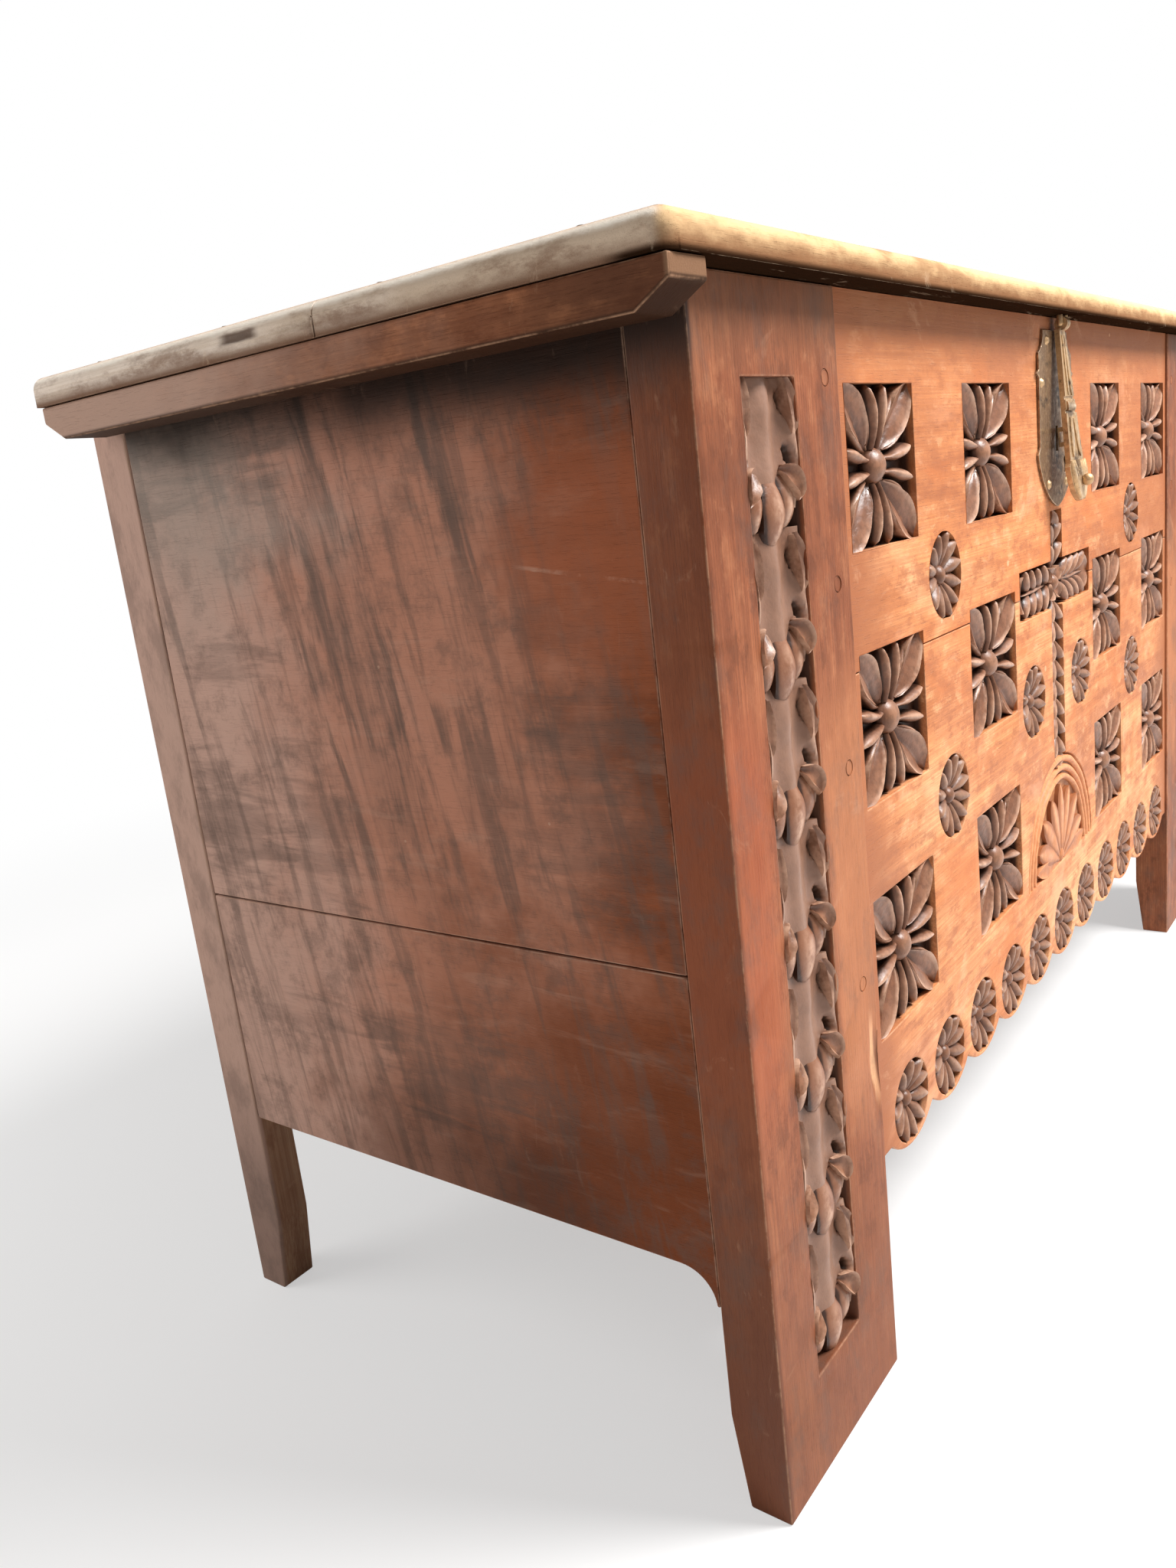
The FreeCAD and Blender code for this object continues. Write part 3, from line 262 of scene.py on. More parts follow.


# marks on the front: painted shade under the lid, carved grounds darkened as painted shade, and bare wood inside
frontMarks = {"shadeAndGrime": tone(0.14, 0.055, 0.024), "shadeAndHandling": tone(0.34, 0.115, 0.045), "deep": tone(0.54, 0.165, 0.048),
              "faded": tone(0.8, 0.4, 0.225), "rosy": tone(0.34, 0.082, 0.03), "warmed": tone(0.5, 0.19, 0.078),
              "dull": tone(0.19, 0.062, 0.027), "dentHighlight": tone(0.85, 0.46, 0.24), "ground": tone(0.07, 0.03, 0.018),
              "inside": tone(0.25, 0.14, 0.08)}
# the ends: red-brown in front, lighter behind with dust and a painted sheen, smudged in leaning strokes and level ones,
# with painted shade under the cleats
endMarks = {"middle": tone(0.46, 0.21, 0.135), "dustAndSheen": tone(0.5, 0.315, 0.245), "smoke": tone(0.105, 0.068, 0.053),
            "shadeAndGrime": tone(0.018, 0.01, 0.007), "ash": tone(0.28, 0.24, 0.2), "glow": tone(0.33, 0.095, 0.04),
            "pale": tone(0.52, 0.33, 0.24), "red": tone(0.14, 0.034, 0.009)}


def dirt(tree, place):
    return clouds(tree, place, 9, 3, 0.6), stretched(tree, place, (26, 26, 14), 6, 0.72)  # broad, and fine


# painted shade: the front darkens up to the carcass top, under the lid's overhang
def shadeUnderLid(tree, z, cloud):
    return soften(tree, wander(tree, z, cloud, 0.05), carcassTop - 0.055, carcassTop - 0.012, 0, 0.6)


def markPlank(tree, place, colour):
    x, y, z = axes(tree, place)
    cloud = clouds(tree, place, 9, 3, 0.6)
    patches = stretched(tree, place, (7, 7, 11), 5, 0.62, 0.5)
    # painted shade: the plank darkens toward the top and to the right, where the light falls off; beside the stiles it
    # is darkened by handling
    high = soften(tree, wander(tree, z, cloud, 0.14), 0.58, 0.75, 0, 0.6)
    beside = soften(tree, wander(tree, sums(tree, "ABSOLUTE", x), cloud, 0.08), 0.37, 0.465)
    farther = times(tree, soften(tree, wander(tree, x, cloud, 0.3), 0, 0.4, 0, 0.75), soften(tree, z, 0.36, 0.58))
    return paint(tree, colour, frontMarks, [
        (soften(tree, patches, 0.5, 0.66, 0, 0.7), "deep"),
        (soften(tree, patches, 0.3, 0.44, 0.6, 0), "faded"),
        (shadeUnderLid(tree, z, cloud), "shadeAndGrime"),
        (sums(tree, "MAXIMUM", sums(tree, "MAXIMUM", high, beside), farther), "shadeAndHandling"),
        # painted shade: the walls and floors of the sunk fields are darkened
        (soften(tree, y, plankFace + 0.003, plankFace + 0.008), "ground"),
        (soften(tree, y, plankFace + 0.024, plankFace + 0.03), "inside")])


def markStile(tree, place, colour):
    x, y, z = axes(tree, place)
    aside = sums(tree, "ABSOLUTE", x)
    cloud, speckle = dirt(tree, place)
    # painted shade: the garland's sunk strip is darkened to the carved ground's tone
    strip = between(tree, aside, (stileEnd - 0.119, stileEnd - 0.1155), (stileEnd - 0.0515, stileEnd - 0.048))
    sunk = between(tree, y, (stileFace + 0.0008, stileFace + 0.005), (stileFace + 0.016, stileFace + 0.02))
    inner = times(tree, between(tree, wander(tree, z, cloud, 0.12), (0.2, 0.3), (0.46, 0.58)),
                  soften(tree, aside, stileEnd - 0.13, stileEnd - 0.11, 0.55, 0))
    rosy = times(tree, between(tree, wander(tree, z, cloud, 0.1), (0.24, 0.34), (0.48, 0.58)),
                 soften(tree, aside, stileEnd - 0.06, stileEnd - 0.03, 0, 0.7))
    dull = times(tree, soften(tree, wander(tree, z, cloud, 0.12), 0.1, 0.26, 0.6, 0),
                 soften(tree, x, -0.1, 0.1, 1, 0))
    # painted highlight: a pale lens on the left stile's inner edge, over the bruise there
    tilted = sums(tree, "ADD", x, times(tree, z, 0.11))
    dentHighlight = times(tree, between(tree, tilted, (-0.4465, -0.4435), (-0.4405, -0.4375)),
                 between(tree, z, (0.212, 0.245), (0.262, 0.3)))
    colour = paint(tree, colour, frontMarks, [(shadeUnderLid(tree, z, cloud), "shadeAndGrime"), (times(tree, strip, sunk), "ground"),
                                              (inner, "warmed"), (rosy, "rosy"), (dull, "dull"),
                                              (times(tree, dentHighlight, 0.85), "dentHighlight")])
    flank = soften(tree, aside, stileEnd - 0.006, stileEnd - 0.0015, 0, 0.6)
    # painted shade on the flank's top, under the cleat; the flank is also darker towards the bottom
    shadedTopDarkFoot = sums(tree, "MAXIMUM", soften(tree, wander(tree, z, cloud, 0.05), 0.695, 0.745, 0, 1.5),
                 soften(tree, wander(tree, z, cloud, 0.1), 0.1, 0.28, 0.4, 0))
    return paint(tree, colour, endMarks, [(flank, "red"), (soften(tree, speckle, 0.32, 0.54, 0.4, 0), "smoke"),
                                          (times(tree, flank, shadedTopDarkFoot), "shadeAndGrime")])


# rear stiles: dust and a painted sheen on the outer side only
def markRear(tree, place, colour):
    x, y, z = axes(tree, place)
    cloud, speckle = dirt(tree, place)
    outerDustAndSheen = paint(tree, colour, endMarks, [
        (soften(tree, wander(tree, y, cloud, 0.1), 0.14, 0.25, 0.4, 0.9), "dustAndSheen"),
        (soften(tree, speckle, 0.32, 0.54, 0.4, 0), "smoke"),
        (soften(tree, wander(tree, z, cloud, 0.1), 0.1, 0.24, 0.45, 0), "smoke")])
    outer = soften(tree, sums(tree, "ABSOLUTE", x), stileEnd - 0.006, stileEnd - 0.0015)
    return blendColour(tree, outer, colour, outerDustAndSheen)


slant = math.radians(9)  # of the leaning strokes
# middle and half sizes in Y and Z, lean and strength of each smudge
leaning = ((0.03, 0.61, 0.034, 0.14, 0.16, 0.85), (-0.082, 0.69, 0.016, 0.06, 0.25, 0.85),
           (0.018, 0.47, 0.045, 0.07, 0.1, 0.65), (-0.045, 0.525, 0.01, 0.02, 0, 0.7),
           (0.068, 0.562, 0.011, 0.024, 0.2, 0.7), (-0.085, 0.47, 0.04, 0.06, 0.1, 0.35))
level = ((0.19, 0.445, 0.07, 0.062, 0, 0.65), (0.09, 0.45, 0.05, 0.062, 0, 0.5),
         (-0.165, 0.525, 0.045, 0.034, 0, 0.65), (-0.16, 0.45, 0.06, 0.04, 0, 0.5),
         (0.165, 0.572, 0.05, 0.018, 0, 0.5), (0, 0.275, 0.08, 0.055, 0, 0.65),
         (0.15, 0.285, 0.06, 0.022, 0, 0.4), (0.165, 0.712, 0.11, 0.035, 0, 0.7),
         (-0.15, 0.59, 0.03, 0.014, 0, 0.5))


def markEnd(tree, place, colour):
    x, y, z = axes(tree, place)
    cloud = clouds(tree, place, 7, 5, 0.65)
    drift = wander(tree, y, cloud, 0.34)
    corner = times(tree, soften(tree, wander(tree, z, cloud, 0.2), 0.3, 0.46, 0.8, 0),
                   soften(tree, wander(tree, y, cloud, 0.2), -0.1, 0.06, 1, 0))
    slanted = put(tree, "Mapping", {"Vector": place, "Rotation": (slant, 0, 0)}).outputs[0]
    strokes = stretched(tree, slanted, (4, 62, 7), 5, 0.66, 0.4)
    bands = stretched(tree, place, (4, 11, 62), 4, 0.64, 0.5)
    dark = None
    for spots, texture in ((leaning, strokes), (level, bands)):
        for spot in spots:
            inputs = dict(zip(smudgeShape, spot), Across=y, Up=z, Texture=texture)
            mask = useGroup(tree, smudge, inputs)["Mask"]
            dark = sums(tree, "MAXIMUM", dark, mask) if dark else mask
    speckle = clouds(tree, place, 34, 6, 0.72)
    line = sums(tree, "SUBTRACT", wander(tree, z, cloud, 0.012), times(tree, y, 0.14))
    crack = times(tree, between(tree, line, (0.6415, 0.6425), (0.6435, 0.645)),
                  between(tree, y, (-0.22, -0.215), (-0.14, -0.12)))
    ashen = times(tree, soften(tree, wander(tree, z, cloud, 0.2), 0.58, 0.7, 0, 0.55),
                  soften(tree, drift, 0.04, 0.18))
    glow = times(tree, between(tree, wander(tree, z, cloud, 0.1), (0.54, 0.6), (0.66, 0.71)),
                 soften(tree, drift, -0.18, -0.08, 0.6, 0))
    # darker towards the bottom of the end
    foot = times(tree, soften(tree, wander(tree, z, cloud, 0.08), 0.19, 0.29, 0.5, 0),
                 between(tree, drift, (-0.2, -0.1), (0.06, 0.16)))
    # painted shade at the end's top under the lid and cleat, deepest in the front half
    shadeAndGrime = soften(tree, wander(tree, z, cloud, 0.07), 0.7, carcassTop - 0.018, 0, 0.9)
    sootAndShade = times(tree, soften(tree, wander(tree, z, cloud, 0.04), 0.692, 0.738),
                 soften(tree, wander(tree, y, cloud, 0.1), -0.02, 0.08, 0.95, 0))
    # lighter and greyer toward the rear: dust and a painted sheen
    colour = paint(tree, colour, endMarks, [
        (soften(tree, drift, -0.2, -0.04, 0, 0.85), "middle"), (soften(tree, drift, -0.02, 0.22, 0, 0.9), "dustAndSheen"),
        (corner, "red"), (times(tree, dark, 0.8), "smoke"), (soften(tree, strokes, 0.36, 0.52, 0.45, 0), "smoke"),
        (soften(tree, bands, 0.55, 0.7, 0, 0.12), "pale"), (soften(tree, speckle, 0.32, 0.54, 0.45, 0), "smoke"),
        (times(tree, crack, soften(tree, speckle, 0.45, 0.6, 0, 0.6)), "pale"), (ashen, "ash"), (glow, "glow"),
        (foot, "shadeAndGrime"), (sums(tree, "MAXIMUM", shadeAndGrime, sootAndShade), "shadeAndGrime")])
    within = soften(tree, sums(tree, "ABSOLUTE", x), stileEnd - 0.024, stileEnd - 0.016, 0.75, 0)
    return blendColour(tree, within, colour, frontMarks["inside"])


# the lid: dusty end grain with a painted highlight along its top, a front edge painted lit gold above and darker below,
# an underside darkened as painted shade and darkest under the overhang; the cleats below it are lighter behind with
# dust and a painted sheen, with painted shade on their undersides and sloped cuts
lidMarks = {"pale": tone(0.84, 0.72, 0.61), "brown": tone(0.6, 0.47, 0.35), "under": tone(0.17, 0.085, 0.05),
            "tip": tone(0.23, 0.125, 0.07), "dustAndSheen": tone(0.44, 0.285, 0.215), "split": tone(0.09, 0.05, 0.035),
            "eavesShade": tone(0.022, 0.01, 0.005), "sootAndShade": tone(0.03, 0.014, 0.008), "gold": tone(0.82, 0.56, 0.3),
            "amber": tone(0.2, 0.095, 0.046), "crest": tone(0.95, 0.88, 0.77), "knots": tone(0.24, 0.115, 0.056)}


def markLid(tree, place, colour):
    x, y, z = axes(tree, place)
    cloud = stretched(tree, place, (12, 12, 30), 4, 0.62)
    lines = stretched(tree, place, (40, 9, 420), 3, 0.6)
    speckle = stretched(tree, place, (30, 22, 60), 6, 0.72)
    rearward = soften(tree, wander(tree, y, cloud, 0.55), -0.22, 0.16)
    # the end grain: darker towards its lower edge, with a painted highlight along its rounded top
    grey = paint(tree, blendColour(tree, rearward, lidMarks["brown"], lidMarks["pale"]), lidMarks, [
        (soften(tree, lines, 0.4, 0.56, 0.4, 0), "brown"), (soften(tree, speckle, 0.32, 0.52, 0.45, 0), "under"),
        (soften(tree, wander(tree, z, speckle, 0.02), 0.772, 0.782, 0.6, 0), "under"),
        (soften(tree, wander(tree, z, speckle, 0.008), 0.7835, 0.788, 0, 0.9), "crest")])
    ends = soften(tree, sums(tree, "ABSOLUTE", x), lidEnd - 0.01, lidEnd - 0.002, 0, 0.92)
    split = times(tree, between(tree, wander(tree, y, speckle, 0.012), (0.015, 0.026), (0.048, 0.06)),
                  between(tree, wander(tree, z, speckle, 0.004), (0.777, 0.779), (0.783, 0.7855)))
    split = times(tree, split, soften(tree, x, 0.006 - lidEnd, 0.012 - lidEnd, 0.85, 0))
    # painted shade on the lid's underside, darkest under the front overhang
    below = soften(tree, z, carcassTop + 0.0008, carcassTop + 0.005, 1, 0)
    colour = paint(tree, blendColour(tree, ends, colour, grey), lidMarks,
                   [(split, "split"), (times(tree, below, 0.8), "under")])
    # painted light on the front edge: lit gold at the top, darker amber below
    upper = soften(tree, wander(tree, z, speckle, 0.016), 0.772, 0.7895)
    gold = blendColour(tree, upper, lidMarks["amber"], lidMarks["gold"])
    gold = blendColour(tree, soften(tree, cloud, 0.34, 0.5, 0.65, 0), gold, lidMarks["knots"])
    colour = blendColour(tree, soften(tree, y, lidFace + 0.004, lidFace + 0.01, 0.9, 0), colour, gold)
    overhang = soften(tree, wander(tree, y, cloud, 0.02), plankFace, plankFace + 0.018, 1, 0)
    return blendColour(tree, times(tree, below, overhang), colour, lidMarks["eavesShade"])


cleatRise, cleatRun = 0.013, 0.022  # sloped ends
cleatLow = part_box("lid_cleat_left")[0]


def markCleat(tree, place, colour):
    y, z = axes(tree, place)[1:]
    cloud = clouds(tree, place, 14, 4, 0.62)
    slope = sums(tree, "ADD", z, times(tree, sums(tree, "SUBTRACT", y, cleatLow.y), cleatRise / cleatRun))
    cut = soften(tree, slope, cleatLow.z + cleatRise + 0.0012, cleatLow.z + cleatRise + 0.003, 0.9, 0)
    under = soften(tree, z, cleatLow.z + 0.001, cleatLow.z + 0.0035, 0.9, 0)
    # painted shade on the cleat's underside and sloped cut; dust and a painted sheen behind; darker wood toward the
    # front
    return paint(tree, colour, lidMarks, [
        (soften(tree, wander(tree, y, cloud, 0.3), -0.16, 0.18, 0, 0.9), "dustAndSheen"),
        (soften(tree, wander(tree, y, cloud, 0.12), cleatLow.y + 0.03, cleatLow.y + 0.14, 0.5, 0), "sootAndShade"),
        (soften(tree, y, cleatLow.y + 0.001, cleatLow.y + 0.004, 0.85, 0), "tip"),
        (sums(tree, "MAXIMUM", cut, under), "sootAndShade")])


frontLook = {"grain": "x", "dark": tone(0.44, 0.15, 0.05), "light": tone(0.71, 0.278, 0.102), "blotch": 0.9,
             "stain": tone(0.82, 0.42, 0.205), "mottle": 0.6, "fibre": 0.35, "fibreTone": tone(0.33, 0.105, 0.042),
             "pores": 0.22, "poreTone": tone(0.1, 0.04, 0.02), "scuffs": 0.2, "specks": 0.5,
             "rubAndHighlight": tone(0.78, 0.47, 0.28), "wear": 0.5, "rough": 0.4, "gloss": 0.22, "extra": markPlank}
# the lower plank is lighter: partly its own tone, partly painted light where the front is lit more strongly toward the
# bottom
lowerLook = dict(frontLook, dark=tone(0.5, 0.178, 0.064), light=tone(0.77, 0.315, 0.126),
                 stain=tone(0.86, 0.45, 0.22))
# the stiles are darker than the planks: partly their own tone, partly painted shade
stileLook = dict(frontLook, grain="z", dark=tone(0.215, 0.063, 0.025), light=tone(0.325, 0.104, 0.043),
                 stain=tone(0.4, 0.155, 0.07), fibreTone=tone(0.125, 0.036, 0.014), scuffs=0.14,
                 rubAndHighlight=tone(0.58, 0.33, 0.2), extra=markStile)
endLook = dict(stileLook, grain="y", dark=tone(0.175, 0.047, 0.016), light=tone(0.25, 0.068, 0.025),
               stain=tone(0.28, 0.1, 0.05), fibre=0.12, pores=0.08, wear=0.8, scuffs=0.08, mottle=0.45,
               rubAndHighlight=tone(0.48, 0.29, 0.2), rough=0.44, gloss=0.1, extra=markEnd)
lidLook = dict(frontLook, dark=tone(0.34, 0.17, 0.085), light=tone(0.5, 0.29, 0.155), stain=tone(0.58, 0.37, 0.215),
               fibreTone=tone(0.22, 0.1, 0.05), rubAndHighlight=tone(0.74, 0.55, 0.38), wear=0.7, scuffs=0.25, rough=0.6,
               gloss=0, extra=markLid)
cleatLook = dict(stileLook, grain="y", dark=tone(0.17, 0.058, 0.026), light=tone(0.245, 0.092, 0.043), gloss=0.05,
                 extra=markCleat)
insideLook = dict(stileLook, dark=tone(0.2, 0.105, 0.06), light=tone(0.31, 0.18, 0.105), stain=tone(0.24, 0.15, 0.1),
                  rubAndHighlight=tone(0.42, 0.28, 0.18), rough=0.6, mottle=0.35, pores=0.1)
del insideLook["extra"]
oakUpper = makeOak("oakUpper", frontLook)
oakLower = makeOak("oakLower", lowerLook)
oakStile = makeOak("oakStile", stileLook)
oakEnd = makeOak("oakEnd", endLook)
oakLid = makeOak("oakLid", lidLook)
oakCleat = makeOak("oakCleat", cleatLook)
oakBack = makeOak("oakBack", dict(insideLook, grain="x"))
oakFloor = makeOak("oakFloor", dict(insideLook, grain="y"))
oakRear = makeOak("oakRear", dict(insideLook, grain="z", extra=markRear))
oakPeg = makeOak("oakPeg", dict(stileLook, wear=0))
print("oak finishes made")


# meshes
smoothUpTo = {"worked": 18, "carved": 50}  # degrees


def finishPiece(bm, name, material, body, finish):
    mesh = bpy.data.meshes.new(name)
    bm.to_mesh(mesh)
    bm.free()
    mesh.shade_smooth()
    mesh.set_sharp_from_angle(angle=math.radians(smoothUpTo[finish]))
    mesh.materials.append(material)
    piece = bpy.data.objects.new(name, mesh)
    bpy.context.scene.collection.objects.link(piece)
    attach(piece, body)
    return piece


def cutFaces(bm, faces, point, normal):
    parts = {part for face in faces for part in (face, *face.edges, *face.verts)}
    bmesh.ops.bisect_plane(bm, geom=list(parts), dist=1e-6, plane_co=point, plane_no=normal)


# a bruise: the faces near it are cut small, then pushed in
def bruise(bm, centre, size, depth):
    centre, size = Vector(centre), Vector(size)
    for axis in range(3):
        normal = Vector((axis == 0, axis == 1, axis == 2))
        for step in (-1, -0.6, -0.2, 0.2, 0.6, 1):
            near = [face for face in bm.faces
                    if all(min(v.co[a] for v in face.verts) < centre[a] + size[a]
                           and max(v.co[a] for v in face.verts) > centre[a] - size[a] for a in range(3))]
            cutFaces(bm, near, centre + normal * step * size[axis], normal)
    bm.normal_update()
    for vert in bm.verts:
        away = vert.co - centre
        reach = sum((away[a] / size[a]) ** 2 for a in range(3))
        if reach < 1:
            ragged = 0.7 + 0.6 * noise.noise(vert.co * 300)
            vert.co -= vert.normal * depth * (1 - reach) * ragged


grainShift = 1.37  # from board to board


# a copy of a node with eased, uneven arrises; it stands for its node
def workNode(name, index, material, slot="oak", ease=1.6, wobble=0.7, cell=0.06, bruises=(), shortest=2.2):
    bm = bmesh.new()
    bm.from_mesh(nodes[name].data)
    bmesh.ops.remove_doubles(bm, verts=bm.verts, dist=2e-5)
    bmesh.ops.dissolve_limit(bm, angle_limit=math.radians(2), verts=bm.verts, edges=bm.edges)
    edgeLayer = bm.verts.layers.float.new("edge")
    boardLayer = bm.verts.layers.float.new("board")
    arrises = [e for e in bm.edges if e.is_manifold and e.calc_length() > shortest * mm
               and e.calc_face_angle(0) > math.radians(40)]
    made = bmesh.ops.bevel(bm, geom=arrises, offset=ease * mm, offset_type="OFFSET", affect="EDGES", segments=2,
                           profile=0.5, material=-1, clamp_overlap=True, loop_slide=False)
    eased = set(made["faces"])
    for vert in bm.verts:
        if vert.link_faces and all(face in eased for face in vert.link_faces):
            vert[edgeLayer] = 1
    low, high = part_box(name)
    for axis in range(3):
        steps = int((high[axis] - low[axis]) / cell)
        normal = Vector((axis == 0, axis == 1, axis == 2))
        for step in range(1, steps):
            cutFaces(bm, bm.faces[:], low.lerp(high, step / steps), normal)
    bm.normal_update()
    for vert in bm.verts:
        vert[boardLayer] = index * grainShift
        rough = noise.noise(vert.co * 17 + Vector((index, 0, 0))) * 0.6 + noise.noise(vert.co * 60) * 0.4
        vert.co -= vert.normal * (0.5 + 0.5 * rough) * wobble * mm
    for spot in bruises:
        bruise(bm, *spot)
    for vert in bm.verts:
        vert.co = [min(max(vert.co[axis], low[axis]), high[axis]) for axis in range(3)]
    bmesh.ops.triangulate(bm, faces=[face for face in bm.faces if len(face.verts) > 4])
    piece = finishPiece(bm, f"{name}_{slot}", material, bodyOf[name], "worked")
    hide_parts(name)


boardFinish = {
    "front_upper_plank": oakUpper, "front_lower_plank": oakLower, "back_upper_plank": oakBack,
    "back_lower_plank": oakBack, "lid_front_board": oakLid, "lid_rear_board": oakLid, "lid_cleat_left": oakCleat,
    "lid_cleat_right": oakCleat,
}
for hand in ("left", "right"):
    boardFinish.update({f"front_stile_{hand}": oakStile, f"rear_stile_{hand}": oakRear,
                        f"end_upper_{hand}": oakEnd, f"end_lower_{hand}": oakEnd,
                        f"front_pegs_{hand}": oakPeg, f"rear_pegs_{hand}": oakRear})
for number in range(1, 7):
    boardFinish[f"bottom_board_{number}"] = oakFloor
# middle, half sizes and depth of each bruise
bruises = {
    "lid_rear_board": [((-lidEnd, 0.037, 0.7815), (0.006, 0.021, 0.0045), 0.0035),
                       ((-lidEnd, -0.0315, 0.776), (0.005, 0.003, 0.008), 0.002)],
    "front_stile_left": [((-stileEnd, stileFace, 0.575), (0.004, 0.004, 0.006), 0.0022),
                         ((-stileEnd, stileFace, 0.355), (0.004, 0.004, 0.009), 0.0028),
                         ((-stileEnd, stileFace, 0.195), (0.004, 0.004, 0.005), 0.002),
                         ((-0.47, stileFace, 0.25), (0.01, 0.004, 0.04), 0.0035)],
}
for index, (name, material) in enumerate(boardFinish.items()):
    if "pegs" in name:
        workNode(name, index, material, ease=0.05, wobble=0.75, shortest=0.4)
    elif "stile" in name:
        workNode(name, index, material, bruises=bruises.get(name, ()), shortest=4.5)
    else:
        workNode(name, index, material, bruises=bruises.get(name, ()))
print("boards worked", len(boardFinish))


# carved ornament: lobes laid on a sunk ground. Motifs are drawn in mm: x across, z up, and -y out of the wood
# each vertex's lift, its height over the ground, sets the carving's colour: darker deep down as painted shade, lighter
# on top as painted light
fullLift = 12  # mm of relief that count as full height
buried = 1.2  # mm that the walls of a relief go below its ground


def newMotif():
    bm = bmesh.new()
    for name in ("lift", "edge", "warm"):
        bm.verts.layers.float.new(name)
    return bm


def layersOf(bm, *names):
    return [bm.verts.layers.float[name] for name in names]


def addLobe(bm, spine, width, lift, root=0.45, belly=0.85, point=0.75, rise=0.45, peak=0.75, droop=0.1, scoop=0.28,
            vein=0, warm=0, steps=(14, 8)):
    liftLayer, edgeLayer, warmLayer = layersOf(bm, "lift", "edge", "warm")
    first, bend, last = (Vector(p) for p in spine)
    made = bmesh.ops.create_grid(bm, x_segments=steps[0], y_segments=steps[1], size=0.5)["verts"]
    for vert in made:
        t, s = vert.co.x + 0.5, vert.co.y * 2  # along and across the lobe
        at = first * (1 - t) ** 2 + bend * (2 * t * (1 - t)) + last * t * t
        ahead = ((bend - first) * (1 - t) + (last - bend) * t).normalized()
        half = width / 2 * max(root * (1 - t), math.sin(math.pi * min(t ** belly, 1)) ** point)
        climb = min(t / peak, 1)
        high = lift * (rise + (1 - rise) * climb * (2 - climb) - droop * max(0, (t - peak) / (1 - peak)) ** 2)
        high += lift * scoop * (s * s - 0.4) * min(1, half / width * 4) - vein * math.exp(-(s / 0.2) ** 2)
        vert.co = (at.x - ahead.y * half * s, -high, at.y + ahead.x * half * s)
        vert[warmLayer] = warm
        # the sides of rounded lobes count as lower, painted darker as shade in the gaps; the edge value marks crests
        # and rims painted pale, as wear and a painted highlight
        vert[liftLayer] = high / fullLift - (0.8 * abs(s) ** 3 if scoop < 0 else 0)
        vert[edgeLayer] = math.exp(-(s / 0.4) ** 2) * climb if scoop < 0 else max(0, abs(s) - 0.72) / 0.28
    closeDown(bm, made)


# walls from the rim of a relief down into the wood
def closeDown(bm, made):
    liftLayer, edgeLayer = layersOf(bm, "lift", "edge")
    rim = {edge for vert in made for edge in vert.link_edges if len(edge.link_faces) == 1}
    walls = bmesh.ops.extrude_edge_only(bm, edges=list(rim))["geom"]
    feet = [vert for vert in walls if isinstance(vert, bmesh.types.BMVert)]
    for vert in feet:
        vert.co.y = buried
        vert[liftLayer] = -0.1
        vert[edgeLayer] = 0
    bmesh.ops.remove_doubles(bm, verts=list(made) + feet, dist=0.02)
    loose = {edge for vert in feet if vert.is_valid for edge in vert.link_edges if len(edge.link_faces) == 1}
    bmesh.ops.holes_fill(bm, edges=list(loose), sides=0)


# a dished ground that rises to its rim
def addBed(bm, halfX, halfZ, low, high, steps=(12, 12)):
    liftLayer = bm.verts.layers.float["lift"]
    made = bmesh.ops.create_grid(bm, x_segments=steps[0], y_segments=steps[1], size=1)["verts"]
    for vert in made:
        reach = max(abs(vert.co.x), abs(vert.co.y))
        lift = low + (high - low) * reach ** 2
        vert.co = (vert.co.x * halfX, -lift, vert.co.y * halfZ)
        vert[liftLayer] = lift / fullLift - 0.5
    closeDown(bm, made)


def addBoss(bm, x, z, radius, middle):
    liftLayer = bm.verts.layers.float["lift"]
    made = bmesh.ops.create_uvsphere(bm, u_segments=22, v_segments=14, radius=radius)["verts"]
    for vert in made:
        vert.co = (vert.co.x + x, vert.co.y - middle, vert.co.z + z)
        vert[liftLayer] = -vert.co.y / fullLift


def keepMotif(bm, name):
    bmesh.ops.recalc_face_normals(bm, faces=bm.faces)
    mesh = bpy.data.meshes.new(name)
    bm.to_mesh(mesh)
    bm.free()
    return mesh


def turned(points, angle, flip=False):
    c, s = math.cos(angle), math.sin(angle)
    if flip:
        points = [(z, x) for x, z in points]  # mirrored about the diagonal
    return [(x * c - z * s, x * s + z * c) for x, z in points]


# an almond leaf in each corner of a sunk field, curling lobes between them with dark cuts beside them, and a boss
square = {"width": 112, "height": 106, "boss": 13, "bossMiddle": 1}


def makeSquare():
    bm = newMotif()
    addBed(bm, 53, 53, 0.3, 2.6)
    for quarter in range(4):
        angle = quarter * math.pi / 2
        addLobe(bm, turned([(8, 8), (30, 30), (54, 54)], angle), 27, 9.8, root=0.25, belly=1.35, point=0.8, rise=0.3,
                scoop=0.42, vein=2.0, steps=(16, 14))
        for flip in (False, True):
            addLobe(bm, turned([(11, 4.5), (30, 5), (53, 12)], angle, flip), 9.5, 11.0, root=0.55, belly=1.5,
                    point=0.55, rise=0.5, peak=0.7, droop=0.3, scoop=-0.6)
            addLobe(bm, turned([(14, 10), (28, 11), (46, 27)], angle, flip), 5, 8.5, root=0.5, belly=1.1, point=0.6,
                    rise=0.5, scoop=-0.6, steps=(12, 6))
    addBoss(bm, 0, 0, square["boss"], square["bossMiddle"])
    for vert in bm.verts:
        vert.co.x *= square["width"] / square["height"]
    return keepMotif(bm, "squareMotif")


